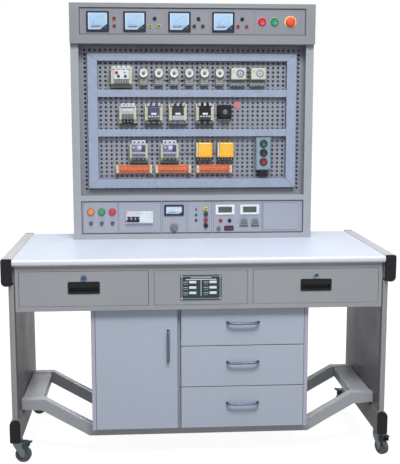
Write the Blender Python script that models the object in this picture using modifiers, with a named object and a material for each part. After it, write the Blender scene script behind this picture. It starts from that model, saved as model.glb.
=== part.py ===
"""Machine tool electrical trainer.

A wheeled bench with two apron drawers and a cabinet under it carries an upper case: a head box with
meters and push buttons, a perforated board with rows of switchgear inside wiring ducts, and a control panel.
Metres, +Z up. The origin is on the floor under the middle of the bench, and the front faces -Y.
"""
import math

import bmesh
import bpy
from mathutils import Matrix

# General
CLEAR = 0.0003
OVERRUN = 0.004
SINK = 0.0015
SMOOTH_ANGLE = math.radians(40)
ROUND_SIDES = 16
SMALL_SIDES = 12
ARC_STEPS = 3

# Bench top and its end rails
TABLE_WIDTH = 1.600
TABLE_DEPTH = 0.750
WORK_HEIGHT = 0.860
WORKTOP_THICK = 0.028
WORKTOP_SETBACK = 0.002
WORKTOP_EDGE_RADIUS = 0.011
RAIL_WIDTH = 0.0435
RAIL_HEIGHT = 0.110
RAIL_PROUD = 0.004
RAIL_TOP_RADIUS = 0.006
RAIL_BOTTOM_RADIUS = 0.017
CAP_THICK = 0.015
CAP_BEVEL = 0.003

# Legs with their foot rails
LEG_INSET = 0.024
LEG_THICK = 0.028
LEG_FRONT_SETBACK = 0.020
LEG_DEPTH = 0.600
LEG_SKIN = 0.002
LEG_INNER_SKIN = 0.010
LEG_EDGE_RADIUS = 0.010
FOOT_WIDTH = 0.044
FOOT_HEIGHT = 0.096
FOOT_LENGTH = 0.665
FOOT_TOP_RADIUS = 0.019
FOOT_BOTTOM_RADIUS = 0.006
FOOT_WALL = 0.0025

# Castors
CASTOR_HEIGHT = 0.100
CASTOR_FRONT_SETBACK = 0.060
CASTOR_REAR_SETBACK = 0.040
CASTOR_TRAIL = 0.024
CASTOR_ANGLES = (-8, -64, 20, 160)
WHEEL_RADIUS = 0.033
WHEEL_WIDTH = 0.024
WHEEL_SHOULDER = 0.004
WHEEL_HUB_RADIUS = 0.011
WHEEL_WEB_DEPTH = 0.004
WHEEL_WEB_RADIUS = 0.022
WHEEL_SIDES = 20
AXLE_RADIUS = 0.004
AXLE_CLEAR = 0.0006
AXLE_HEAD = 0.0015
RACE_RADIUS = 0.022
RACE_HEIGHT = 0.011
FORK_THICK = 0.003
FORK_SIDE_CLEAR = 0.0015
FORK_FRONT = 0.016
FORK_REAR = 0.038
FORK_END_RADIUS = 0.010
FORK_END_START = 200
FORK_END_SWEEP = 140
FORK_TOP_THICK = 0.014
PEDAL_PIVOT_RADIUS = 0.004
PEDAL_PIVOT_REACH = 0.042
PEDAL_PIVOT_DROP = 0.019
PEDAL_REACH = 0.061
PEDAL_THICK = 0.005
PEDAL_WIDTH = 0.020
PEDAL_LIFT = 0.009
EAR_THICK = 0.003

# Cradle of square tube
TUBE_SIZE = 0.044
CRADLE_TOP = 0.248
CRADLE_FRONT_SETBACK = 0.105
CRADLE_DEPTH = 0.425
CRADLE_SIDE_WIDTH = 0.088
CRADLE_SHOULDER = 0.098
CRADLE_BEND_OUTSIDE = 0.003

# Apron case and its drawers
APRON_SETBACK = 0.020
APRON_HEIGHT = 0.1857
APRON_DEPTH = 0.560
APRON_SHEET = 0.002
APRON_FRAME_THICK = 0.017
CENTRE_PANEL_HALF = 0.2127
DRAWER_OPENING_HEIGHT = 0.145
DRAWER_OPENING_EDGE = 0.014
APRON_BOTTOM_RAIL = 0.019
CENTRE_GROOVE_HALF = 0.1925
CENTRE_GROOVE_WIDTH = 0.0018
CENTRE_GROOVE_DEPTH = 0.0012
FRONT_GAP = 0.0015
APRON_DRAWER_DEPTH = 0.450
APRON_DRAWER_WALL = 0.003
APRON_DRAWER_FACE = 0.018
APRON_DRAWER_SIDE_DROP = 0.014
PULL_WIDTH = 0.129
PULL_HEIGHT = 0.050
PULL_FLANGE = 0.0025
PULL_RIM = 0.0045
PULL_WALL = 0.003
PULL_DEPTH = 0.0150
PULL_LIP_SHARE = 0.58
PULL_CENTRE_SHARE = 0.53
LOCK_RADIUS = 0.013
LOCK_PROUD = 0.006
LOCK_BARREL_RADIUS = 0.009
LOCK_HOLE_CLEAR = 0.0008
LOCK_SLOT_WIDTH = 0.0022
LOCK_SLOT_SHARE = 0.7
LOCK_SLOT_DEPTH = 0.0015
LOCK_CAM_LENGTH = 0.022
LOCK_CAM_WIDTH = 0.010
LOCK_CAM_THICK = 0.003
LOCK_CENTRE_SHARE = 0.80
PLAQUE_WIDTH = 0.168
PLAQUE_HEIGHT = 0.103
PLAQUE_THICK = 0.0025
PLAQUE_SCREW_RADIUS = 0.0042
PLAQUE_SCREW_PROUD = 0.0015
PLAQUE_SCREW_INSET = 0.0055

# Cabinet under the bench
CABINET_HALF = 0.450
CABINET_BOTTOM = 0.129
CABINET_SETBACK = 0.050
CABINET_DEPTH = 0.480
CABINET_WALL = 0.016
CABINET_BACK_WALL = 0.008
CABINET_DIVIDER = 0.012
CABINET_DIVIDER_X = -0.0875
FRONT_THICK = 0.0187
FRONT_SPLIT_SHARES = (0.3464, 0.6851)
FRONT_EDGE_GAP = 0.002
LEDGE_WIDTH = 0.012
LEDGE_HEIGHT = 0.012
BOX_WALL = 0.010
BOX_FLOOR = 0.006
BOX_DEPTH = 0.430
BOX_LIFT = 0.014
BOX_SIDE_DROP = 0.040
HANDLE_PITCH = 0.128
HANDLE_REACH = 0.028
HANDLE_RADIUS = 0.0052
HANDLE_STEPS = 10
HANDLE_ROUNDNESS = 4
HANDLE_FOOT = 0.003
HANDLE_ABOVE_CENTRE = 0.017
DOOR_HANDLE_INSET = 0.0385
DOOR_HANDLE_HEIGHT_SHARE = 0.695
HINGE_AXIS_PROUD = 0.002
HINGE_HEIGHT_SHARES = (0.14, 0.86)
HINGE_PLATE_THICK = 0.003
HINGE_PLATE_LENGTH = 0.055
HINGE_PLATE_HEIGHT = 0.030
HINGE_ARM_WIDTH = 0.016
HINGE_ARM_HEIGHT = 0.014
HINGE_ARM_LENGTH = 0.040
HINGE_EDGE_INSET = 0.0015

# Upper case
HUTCH_HALF = 0.550
HUTCH_DEPTH = 0.207
HUTCH_HEIGHT = 1.0597
HUTCH_SHEET = 0.002
HUTCH_FLANGE = 0.008
POST_WIDTH = 0.036
BASE_MEMBER = 0.0225
CONTROL_OPENING = 0.154
SHELF_MEMBER = 0.025
HEAD_HEIGHT = 0.177
HEAD_OVERHANG = 0.028
HEAD_SIDE = 0.043
HEAD_SILL = 0.039
HEAD_OPENING = 0.118
PANEL_THICK = 0.003
BOARD_SETBACK = 0.067
BOARD_THICK = 0.002

# Head panel
METER_WIDTH = 0.100
METER_HEIGHT = 0.088
METER_PROUD = 0.008
METER_RIM = 0.006
METER_DIAL_DEPTH = 0.003
METER_X_SHARES = (-0.838, -0.515, -0.1225, 0.264)
METER_Z_SHARE = 0.49
JACK_RADIUS = 0.0085
JACK_PROUD = 0.006
JACK_UPPER_X_SHARES = (-0.694, -0.340, 0.0455, 0.432)
JACK_LOWER_X_SHARES = (-0.694, -0.379, -0.304, 0.008, 0.083, 0.395, 0.472)
JACK_UPPER_Z_SHARE = 0.602
JACK_LOWER_Z_SHARE = 0.330
BUTTON_X_SHARES = (0.609, 0.720)
BUTTON_Z_SHARE = 0.508
BUTTON_RADIUS = 0.0145
BUTTON_CLEAR = 0.0006
BUTTON_BEZEL_WIDTH = 0.0045
BUTTON_BEZEL_PROUD = 0.006
BUTTON_LENGTH = 0.012
BUTTON_TRAVEL = 0.004
BUTTON_SOCKET_WALL = 0.003
ESTOP_X_SHARE = 0.862
ESTOP_RING_RADIUS = 0.027
ESTOP_RING_PROUD = 0.003
ESTOP_CAP_RADIUS = 0.0215
ESTOP_CAP_THICK = 0.010
ESTOP_STEM_RADIUS = 0.0105
ESTOP_STEM_LENGTH = 0.012
ESTOP_DOME_SHARE = 0.72
ESTOP_TRAVEL = 0.005

# Control panel
LAMP_X_SHARES = (-0.917, -0.821, -0.725)
LAMP_Z_SHARE = 0.669
LAMP_RADIUS = 0.017
LAMP_PROUD = 0.012
LAMP_DOME_SHARE = 0.75
FUSE_HOLDER_Z_SHARE = 0.331
FUSE_HOLDER_RADIUS = 0.010
FUSE_HOLDER_PROUD = 0.010
SUBPLATE_X_SHARES = (-0.655, -0.308)
SUBPLATE_MARGIN_SHARE = 0.06
SUBPLATE_PROUD = 0.0015
BREAKER_X_SHARE = -0.4836
BREAKER_Z_SHARE = 0.503
BREAKER_WIDTH = 0.126
BREAKER_HEIGHT = 0.057
BREAKER_PROUD = 0.018
BREAKER_SHOULDER_PROUD = 0.011
BREAKER_NOSE_SHARE = 0.56
LEVER_X_OFFSET = -0.0285
LEVER_Z_OFFSET = -0.008
LEVER_LENGTH = 0.056
LEVER_HUB_RADIUS = 0.0055
LEVER_REACH = 0.019
LEVER_THICK = 0.006
LEVER_SWING = 50
LEVER_POCKET_HALF = 0.0125
SMALL_METER_X_SHARE = -0.173
SMALL_METER_Z_SHARE = 0.708
SMALL_METER_WIDTH = 0.091
SMALL_METER_HEIGHT = 0.050
SMALL_METER_PROUD = 0.007
SMALL_METER_RIM = 0.004
KNOB_X_SHARE = -0.174
KNOB_Z_SHARE = 0.175
KNOB_RADIUS = 0.016
KNOB_LENGTH = 0.015
KNOB_SHAFT_RADIUS = 0.003
KNOB_SHAFT_LENGTH = 0.006
KNOB_GRIP_WIDTH = 0.006
KNOB_GRIP_PROUD = 0.004
SMALL_JACK_X_SHARE = 0.026
SMALL_JACK_Z_SHARES = (0.734, 0.558, 0.396)
SMALL_JACK_RADIUS = 0.0065
SMALL_JACK_PROUD = 0.004
TERMINAL_X_SHARE = 0.114
TERMINAL_Z_SHARES = (0.747, 0.584, 0.409, 0.234)
TERMINAL_RADIUS = 0.0105
TERMINAL_PROUD = 0.014
DISPLAY_X_SHARES = (0.288, 0.5116)
DISPLAY_Z_SHARE = 0.714
DISPLAY_WIDTH = 0.088
DISPLAY_HEIGHT = 0.046
DISPLAY_PROUD = 0.006
DISPLAY_RIM = 0.007
DISPLAY_DEPTH = 0.002
LEAD_JACK_X_SHARES = (0.2466, 0.329)
LEAD_JACK_Z_SHARE = 0.380
LEAD_JACK_RADIUS = 0.0085
TRIM_X_SHARE = 0.230
TRIM_Z_SHARE = 0.143
TRIM_RADIUS = 0.010
TRIM_PROUD = 0.010
ROCKER_X_SHARE = 0.324
ROCKER_Z_SHARE = 0.149
ROCKER_LENGTH = 0.036
ROCKER_HEIGHT = 0.014
ROCKER_FRAME = 0.004
ROCKER_FRAME_PROUD = 0.003
ROCKER_PROUD = 0.0065
ROCKER_SINK = 0.0045
ROCKER_CLEAR = 0.0006
ROCKER_SWING = 14
SOCKET_X_SHARES = (0.460, 0.561)
SOCKET_Z_SHARE = 0.341
SOCKET_WIDTH = 0.044
SOCKET_HEIGHT = 0.040
SOCKET_TOP_SHARE = 0.6
SOCKET_PROUD = 0.007
BLANK_X_SHARE = 0.798
BLANK_WIDTH = 0.167
BLANK_MARGIN_SHARE = 0.09

# Wiring duct frame on the board
DUCT_HALF = 0.478
DUCT_LIFT = 0.031
DUCT_HEIGHT = 0.612
DUCT_DEPTH = 0.030
DUCT_SIDE = 0.044
DUCT_TOP = 0.033
DUCT_BOTTOM = 0.042
DUCT_CROSS = 0.033
DUCT_CROSS_SHARES = (0.415, 0.708)

# Device rows: a mounting rail, with places along it as shares of half the clear width between the ducts
RAIL_STRIP_HEIGHT = 0.009
RAIL_STRIP_DEPTH = 0.0075
ROW_UPPER_SHARE = 0.828
ROW_MIDDLE_SHARE = 0.557
ROW_LOWER_SHARE = 0.275
ROW_UPPER_RAIL_DROP = 0.0069
ROW_LOWER_RAIL_DROP = 0.0051
ROW_UPPER_ENDS_SHARES = (-0.870, 0.790)
ROW_MIDDLE_ENDS_SHARES = (-0.800, 0.400)
ROW_LOWER_ENDS_SHARES = (-0.700, 0.450)
STARTER_SHARE = -0.7465
STARTER_WIDTH = 0.098
STARTER_HEIGHT = 0.100
STARTER_BASE_DEPTH = 0.034
STARTER_DEPTH = 0.056
STARTER_FACE_SHARE = 0.62
STARTER_DIAL_RADIUS = 0.009
STARTER_DIAL_SHARES = (-0.30, 0.0, 0.30)
FUSE_FIRST_SHARE = -0.516
FUSE_LAST_SHARE = 0.2834
FUSE_COUNT = 6
FUSE_BASE_WIDTH = 0.036
FUSE_BASE_HEIGHT = 0.080
FUSE_BASE_DEPTH = 0.030
FUSE_CAP_RADIUS = 0.0195
FUSE_CAP_DEPTH = 0.052
FUSE_CAP_LIFT = 0.016
TIMER_SHARES = (0.479, 0.688)
TIMER_WIDTH = 0.072
TIMER_HEIGHT = 0.085
TIMER_BODY_HEIGHT = 0.056
TIMER_BASE_DEPTH = 0.030
TIMER_DEPTH = 0.062
RELAY_SHARE = -0.6855
RELAY_WIDTH = 0.080
RELAY_HEIGHT = 0.094
RELAY_DEPTH = 0.052
RELAY_BASE_DEPTH = 0.028
CONTACTOR_SHARES = (-0.412, -0.158, 0.1278)
CONTACTOR_WIDTH = 0.084
CONTACTOR_HEIGHT = 0.096
CONTACTOR_BASE_DEPTH = 0.030
CONTACTOR_WING_DEPTH = 0.045
CONTACTOR_CORE_DEPTH = 0.060
CONTACTOR_CORE_SHARE = 0.62
CONTACTOR_WING_SHARE = 0.62
CONTACTOR_TEETH = 3
CONTACTOR_TOOTH_SHARE = 0.2
ROUND_DEVICE_SHARE = 0.3394
ROUND_DEVICE_RADIUS = 0.032
ROUND_DEVICE_DEPTH = 0.050
ROUND_DEVICE_KNOB_RADIUS = 0.012
ROUND_DEVICE_KNOB_PROUD = 0.008
ROUND_DEVICE_LIFT = 0.008
THERMAL_SHARES = (-0.574, -0.2465)
THERMAL_WIDTH = 0.084
THERMAL_HEIGHT = 0.104
THERMAL_BASE_DEPTH = 0.030
THERMAL_DEPTH = 0.056
THERMAL_TOP_SHARE = 0.55
YELLOW_SHARES = (0.1195, 0.3465)
YELLOW_WIDTH = 0.076
YELLOW_HEIGHT = 0.084
YELLOW_DEPTH = 0.058
STRIP_SHARES = (-0.624, -0.207, 0.230)
STRIP_WIDTH = 0.166
STRIP_HEIGHT = 0.037
STRIP_DEPTH = 0.030
STRIP_DROP = 0.081
STRIP_END_WIDTH = 0.018
STRIP_END_DEPTH = 0.036
STRAP_WIDTH = 0.012
STRAP_DEPTH = 0.003
STRAP_SHARES = (-0.574, -0.2465, 0.3465)

# Push-button station
STATION_SHARE = 0.7535
STATION_WIDTH = 0.072
STATION_HEIGHT = 0.150
STATION_DEPTH = 0.048
STATION_HEIGHT_SHARE = 0.256
STATION_BEVEL = 0.003
STATION_PITCH = 0.042
STATION_BUTTON_RADIUS = 0.0130
STATION_FIRST_LIFT = 0.0055
STATION_GLAND_WIDTH = 0.040
STATION_GLAND_DROP = 0.027
STATION_GLAND_SET = 0.008

# Worked out from the driving sizes
TABLE_FRONT = -TABLE_DEPTH / 2
TABLE_REAR = TABLE_DEPTH / 2
RAIL_INNER = TABLE_WIDTH / 2 - RAIL_WIDTH
RAIL_TOP = WORK_HEIGHT + RAIL_PROUD
RAIL_BOTTOM = RAIL_TOP - RAIL_HEIGHT
WORKTOP_BOTTOM = WORK_HEIGHT - WORKTOP_THICK
LEG_OUTER = TABLE_WIDTH / 2 - LEG_INSET
LEG_INNER = LEG_OUTER - LEG_THICK
LEG_FRONT = TABLE_FRONT + LEG_FRONT_SETBACK
LEG_REAR = LEG_FRONT + LEG_DEPTH
FOOT_X = LEG_INNER + LEG_THICK / 2
FOOT_TOP = CASTOR_HEIGHT + FOOT_HEIGHT
FOOT_REAR = TABLE_FRONT + FOOT_LENGTH
APRON_TOP = WORKTOP_BOTTOM - CLEAR
APRON_BOTTOM = APRON_TOP - APRON_HEIGHT
CABINET_TOP = APRON_BOTTOM - CLEAR
CABINET_FRONT = TABLE_FRONT + CABINET_SETBACK
CABINET_REAR = CABINET_FRONT + CABINET_DEPTH
FRONT_BACK = CABINET_FRONT + FRONT_THICK
CABINET_INSIDE = CABINET_HALF - CABINET_WALL
CRADLE_FRONT = TABLE_FRONT + CRADLE_FRONT_SETBACK
CRADLE_LOW_TOP = CABINET_BOTTOM - CLEAR
APRON_FRONT = TABLE_FRONT + APRON_SETBACK
APRON_HALF = LEG_INNER - CLEAR
OPENING_X1 = APRON_HALF - DRAWER_OPENING_EDGE
OPENING_X0 = CENTRE_PANEL_HALF
DRAWER_OPENING_WIDTH = OPENING_X1 - OPENING_X0
OPENING_Z0 = APRON_BOTTOM + APRON_BOTTOM_RAIL
OPENING_Z1 = OPENING_Z0 + DRAWER_OPENING_HEIGHT
DRAWER_X = (OPENING_X0 + OPENING_X1) / 2
PULL_Z = OPENING_Z0 + PULL_CENTRE_SHARE * DRAWER_OPENING_HEIGHT
LOCK_Z = OPENING_Z0 + LOCK_CENTRE_SHARE * DRAWER_OPENING_HEIGHT
HUTCH_BASE = WORK_HEIGHT + CLEAR
HUTCH_FRONT = TABLE_REAR - HUTCH_DEPTH
HUTCH_TOP = HUTCH_BASE + HUTCH_HEIGHT
CONTROL_Z0 = HUTCH_BASE + BASE_MEMBER
CONTROL_Z1 = CONTROL_Z0 + CONTROL_OPENING
SHELF_Z = CONTROL_Z1 + SHELF_MEMBER / 2
BAY_Z0 = CONTROL_Z1 + SHELF_MEMBER
HEAD_Z0 = HUTCH_TOP - HEAD_HEIGHT
HEAD_FRONT = HUTCH_FRONT - HEAD_OVERHANG
HEAD_OPENING_Z0 = HEAD_Z0 + HEAD_SILL
HEAD_OPENING_Z1 = HEAD_OPENING_Z0 + HEAD_OPENING
BAY_HALF = HUTCH_HALF - POST_WIDTH
HEAD_OPENING_HALF = HUTCH_HALF - HEAD_SIDE
PANEL_HALF = HUTCH_HALF - HUTCH_SHEET - CLEAR
HEAD_PANEL_Y = HEAD_FRONT + HUTCH_FLANGE + CLEAR
CONTROL_PANEL_Y = HUTCH_FRONT + HUTCH_FLANGE + CLEAR
BOARD_Y = HUTCH_FRONT + BOARD_SETBACK
DEVICE_BACK = BOARD_Y - CLEAR
DUCT_Z0 = BAY_Z0 + DUCT_LIFT
DUCT_Z1 = DUCT_Z0 + DUCT_HEIGHT
DUCT_CLEAR_HALF = DUCT_HALF - DUCT_SIDE
HINGE_AXIS_X = -CABINET_INSIDE + FRONT_GAP / 2
HINGE_AXIS_Y = CABINET_FRONT - HINGE_AXIS_PROUD

# Colours with roughness and metallic value
FRAME_GREY = ((0.36, 0.38, 0.42), 0.45, 0.0)
FRONT_GREY = ((0.43, 0.49, 0.62), 0.40, 0.0)
DUCT_BLUE = ((0.33, 0.40, 0.55), 0.45, 0.0)
BOARD_GREY = ((0.40, 0.43, 0.47), 0.45, 0.0)
WHITE = ((0.72, 0.78, 0.88), 0.30, 0.0)
BLACK = ((0.02, 0.02, 0.023), 0.50, 0.0)
DARK_BLUE = ((0.05, 0.06, 0.10), 0.35, 0.2)
CHROME = ((0.65, 0.66, 0.68), 0.20, 1.0)
RUBBER = ((0.06, 0.06, 0.065), 0.70, 0.0)
GREEN_PLATE = ((0.03, 0.09, 0.09), 0.40, 0.0)
CREAM = ((0.62, 0.60, 0.52), 0.50, 0.0)
RED = ((0.60, 0.03, 0.02), 0.35, 0.0)
GREEN = ((0.02, 0.30, 0.10), 0.35, 0.0)
ORANGE_RED = ((0.75, 0.10, 0.02), 0.35, 0.0)


def clear_scene():
    for item in list(bpy.data.objects):
        bpy.data.objects.remove(item, do_unlink=True)


def new_collection(name):
    group = bpy.data.collections.new(name)
    bpy.context.scene.collection.children.link(group)
    return group


clear_scene()
PARTS = new_collection("machine_tool_electrical_trainer")


# Modelling tools

def object_from(mesh):
    item = bpy.data.objects.new(mesh.name, mesh)
    PARTS.objects.link(item)
    return item


def box(x0, x1, y0, y1, z0, z1):
    """A block between two corners, whichever way round the ends of each side are given."""
    bm = bmesh.new()
    centre = Matrix.Translation(((x0 + x1) / 2, (y0 + y1) / 2, (z0 + z1) / 2))
    size = Matrix.Diagonal((abs(x1 - x0), abs(y1 - y0), abs(z1 - z0), 1))
    bmesh.ops.create_cube(bm, size=1, matrix=centre @ size)
    mesh = bpy.data.meshes.new("box")
    bm.to_mesh(mesh)
    bm.free()
    return object_from(mesh)


AXIS_TURNS = {
    "X": Matrix.Rotation(math.radians(90), 4, "Y"),
    "Y": Matrix.Rotation(math.radians(-90), 4, "X"),
    "Z": Matrix.Identity(4),
}


def rod(axis, centre, radius, length, sides=ROUND_SIDES, end_share=1.0):
    """A cylinder that starts at a point and runs a length along +axis. The far end may be narrower."""
    bm = bmesh.new()
    bmesh.ops.create_cone(bm, cap_ends=True, segments=sides, radius1=radius, radius2=radius * end_share,
                          depth=length, matrix=Matrix.Translation((0, 0, length / 2)))
    mesh = bpy.data.meshes.new("rod")
    bm.to_mesh(mesh)
    bm.free()
    mesh.transform(Matrix.Translation(centre) @ AXIS_TURNS[axis])
    return object_from(mesh)


def stud(x, y, z, radius, proud, sides=SMALL_SIDES, end_share=1.0):
    """A round piece that stands forward of a panel face at y, with its root sunk in the panel."""
    piece = rod("Y", (0, 0, 0), radius, proud + SINK, sides, end_share)
    piece.data.transform(Matrix.Translation((x, y + SINK, z)) @ Matrix.Rotation(math.pi, 4, "Z"))
    return piece


OUTLINE_FRAMES = {
    "X": Matrix(((0, 0, 1, 0), (1, 0, 0, 0), (0, 1, 0, 0), (0, 0, 0, 1))),
    "Y": Matrix.Rotation(math.radians(90), 4, "X"),
    "Z": Matrix.Identity(4),
}


def mesh_of(item):
    """The item as the viewport evaluates it, as a mesh object with its seams welded."""
    graph = bpy.context.evaluated_depsgraph_get()
    mesh = bpy.data.meshes.new_from_object(item.evaluated_get(graph))
    mesh.transform(item.matrix_world)
    bm = bmesh.new()
    bm.from_mesh(mesh)
    bmesh.ops.remove_doubles(bm, verts=bm.verts, dist=CLEAR / 10)
    bm.to_mesh(mesh)
    bm.free()
    bpy.data.objects.remove(item, do_unlink=True)
    return object_from(mesh)


def prism(axis, outline, start, end):
    """A flat outline drawn square to an axis, extruded between two places on that axis."""
    curve = bpy.data.curves.new("outline", "CURVE")
    curve.dimensions = "2D"
    curve.fill_mode = "BOTH"
    curve.extrude = abs(end - start) / 2
    spline = curve.splines.new("POLY")
    spline.points.add(len(outline) - 1)
    for point, (across, up) in zip(spline.points, outline):
        point.co = (across, up, 0, 1)
    spline.use_cyclic_u = True
    item = bpy.data.objects.new("outline", curve)
    PARTS.objects.link(item)
    shift = {"X": (1, 0, 0), "Y": (0, 1, 0), "Z": (0, 0, 1)}[axis]
    middle = (start + end) / 2
    item.matrix_world = Matrix.Translation([middle * part for part in shift]) @ OUTLINE_FRAMES[axis]
    bpy.context.view_layer.update()
    return mesh_of(item)


def rounded_outline(x0, x1, z0, z1, low_radius, high_radius):
    """A rectangle with one radius for its two lower corners and one for its two upper corners."""
    corners = (
        (x0 + low_radius, z0 + low_radius, low_radius, 180),
        (x1 - low_radius, z0 + low_radius, low_radius, 270),
        (x1 - high_radius, z1 - high_radius, high_radius, 0),
        (x0 + high_radius, z1 - high_radius, high_radius, 90),
    )
    points = []
    for cx, cz, radius, first in corners:
        for step in range(ARC_STEPS + 1):
            angle = math.radians(first + 90 * step / ARC_STEPS)
            points.append((cx + radius * math.cos(angle), cz + radius * math.sin(angle)))
    return points


def band_outline(top, thickness):
    """A band that follows a top line from left to right and keeps one thickness, with mitred bends."""
    lower = []
    for index, (x, z) in enumerate(top):
        before = top[max(index - 1, 0)]
        after = top[min(index + 1, len(top) - 1)]
        first = math.atan2(z - before[1], x - before[0]) if index else None
        second = math.atan2(after[1] - z, after[0] - x) if index < len(top) - 1 else first
        first = second if first is None else first
        bend = (second - first) / 2
        heading = (first + second) / 2
        reach = thickness / math.cos(bend)
        lower.append((x + reach * math.sin(heading), z - reach * math.cos(heading)))
    return list(top) + lower[::-1]


def combine(operation, base, tools):
    """Apply one Boolean for each tool to the base, then remove the tools."""
    for tool in tools:
        modifier = base.modifiers.new("boolean", "BOOLEAN")
        modifier.operation = operation
        modifier.solver = "EXACT"
        modifier.object = tool
    graph = bpy.context.evaluated_depsgraph_get()
    mesh = bpy.data.meshes.new_from_object(base.evaluated_get(graph))
    base.modifiers.clear()
    base.data = mesh
    for tool in tools:
        bpy.data.objects.remove(tool, do_unlink=True)
    return base


def fuse(base, *tools):
    return combine("UNION", base, tools)


def cut(base, *tools):
    return combine("DIFFERENCE", base, tools)


def bevelled(item, width, segments=1, angle=60):
    modifier = item.modifiers.new("bevel", "BEVEL")
    modifier.width = width
    modifier.segments = segments
    modifier.limit_method = "ANGLE"
    modifier.angle_limit = math.radians(angle)
    return mesh_of(item)


def material_for(name, finish):
    colour, roughness, metallic = finish
    material = bpy.data.materials.new(name)
    material.use_nodes = True
    shader = material.node_tree.nodes["Principled BSDF"]
    shader.inputs["Base Color"].default_value = (*colour, 1)
    shader.inputs["Roughness"].default_value = roughness
    shader.inputs["Metallic"].default_value = metallic
    return material


def sub_part(name, item, finish, origin=(0, 0, 0)):
    """Name a finished piece, give it its material and set its origin, on its joint's axis if it moves."""
    item.name = name
    item.data.name = name
    item.data.materials.clear()
    item.data.materials.append(material_for(name, finish))
    item.data.transform(Matrix.Translation([-part for part in origin]))
    item.location = origin
    item.data.shade_smooth()
    item.data.set_sharp_from_angle(angle=SMOOTH_ANGLE)
    return item


def carried_by(item, carrier):
    """Parent a piece to what carries it, where it stands."""
    item.parent = carrier
    item.location = item.location - carrier.location
    return item


SIDES = (("left", -1), ("right", 1))


# Bench

def make_worktop():
    half = RAIL_INNER - CLEAR
    front = TABLE_FRONT + WORKTOP_SETBACK
    rear = TABLE_REAR - WORKTOP_SETBACK
    outline = rounded_outline(front, rear, WORKTOP_BOTTOM, WORK_HEIGHT, WORKTOP_EDGE_RADIUS,
                              WORKTOP_EDGE_RADIUS)
    return sub_part("worktop", prism("X", outline, -half, half), WHITE)


def make_end_rail(label, side):
    """An end rail whose rear end is closed by its cap, and the loose cap at its front end."""
    inner = side * RAIL_INNER
    outer = side * TABLE_WIDTH / 2
    outline = rounded_outline(min(inner, outer), max(inner, outer), RAIL_BOTTOM, RAIL_TOP,
                              RAIL_BOTTOM_RADIUS, RAIL_TOP_RADIUS)
    joint = TABLE_FRONT + CAP_THICK
    sub_part("top_rail_" + label, prism("Y", outline, joint, TABLE_REAR), FRAME_GREY)
    cap = bevelled(prism("Y", outline, TABLE_FRONT, joint - CLEAR), CAP_BEVEL)
    sub_part("top_cap_" + label, cap, BLACK)


def foot_outline(side, wall=0.0):
    centre = side * FOOT_X
    half = FOOT_WIDTH / 2 - wall
    return rounded_outline(centre - half, centre + half, CASTOR_HEIGHT + wall, FOOT_TOP - wall,
                           FOOT_BOTTOM_RADIUS - wall, FOOT_TOP_RADIUS - wall)


def make_leg(label, side):
    """A hollow leg panel, open on top under the end rail, standing on a tubular foot rail."""
    joint = TABLE_FRONT + CAP_THICK
    leg_top = RAIL_BOTTOM - CLEAR
    foot = prism("Y", foot_outline(side), joint, FOOT_REAR)
    bore = prism("Y", foot_outline(side, FOOT_WALL), joint - OVERRUN, FOOT_REAR - CAP_THICK)
    foot = cut(foot, bore)
    root = FOOT_TOP - FOOT_TOP_RADIUS / 2
    low, high = sorted((side * LEG_INNER, side * LEG_OUTER))
    outline = rounded_outline(low, high, LEG_FRONT, LEG_REAR, LEG_EDGE_RADIUS, LEG_EDGE_RADIUS)
    panel = prism("Z", outline, root, leg_top)
    tongue = box(side * LEG_INNER, side * (RAIL_INNER - CLEAR), LEG_FRONT + 2 * LEG_EDGE_RADIUS,
                 LEG_REAR - 2 * LEG_EDGE_RADIUS, leg_top - LEG_EDGE_RADIUS, APRON_TOP)
    end_wall = LEG_EDGE_RADIUS + LEG_SKIN
    pocket = box(side * (LEG_INNER + LEG_INNER_SKIN), side * (LEG_OUTER - LEG_SKIN),
                 LEG_FRONT + end_wall, LEG_REAR - end_wall, FOOT_TOP + FOOT_WALL, leg_top + OVERRUN)
    leg = cut(fuse(panel, tongue, foot), pocket)
    sub_part("leg_" + label, leg, FRAME_GREY)
    cap = bevelled(prism("Y", foot_outline(side), TABLE_FRONT, joint - CLEAR), CAP_BEVEL)
    sub_part("foot_cap_" + label, cap, BLACK)


def make_cradle():
    """Front and rear stretchers that dip under the cabinet, joined by a bar along each leg."""
    end = LEG_INNER - CLEAR
    shoulder = end - CRADLE_SHOULDER
    low = CABINET_HALF + CRADLE_BEND_OUTSIDE
    half = [(low, CRADLE_LOW_TOP), (shoulder, CRADLE_TOP), (end, CRADLE_TOP)]
    top = [(-x, z) for x, z in half[::-1]] + half
    outline = band_outline(top, TUBE_SIZE)
    rear = CRADLE_FRONT + CRADLE_DEPTH
    front_bar = prism("Y", outline, CRADLE_FRONT, CRADLE_FRONT + TUBE_SIZE)
    rear_bar = prism("Y", outline, rear - TUBE_SIZE, rear)
    side_bars = [box(side * (end - CRADLE_SIDE_WIDTH), side * (end - SINK), CRADLE_FRONT + SINK, rear - SINK,
                     CRADLE_TOP - TUBE_SIZE + SINK, CRADLE_TOP - SINK) for _, side in SIDES]
    sub_part("cradle_frame", fuse(front_bar, rear_bar, *side_bars), FRAME_GREY)


# Castors

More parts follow.
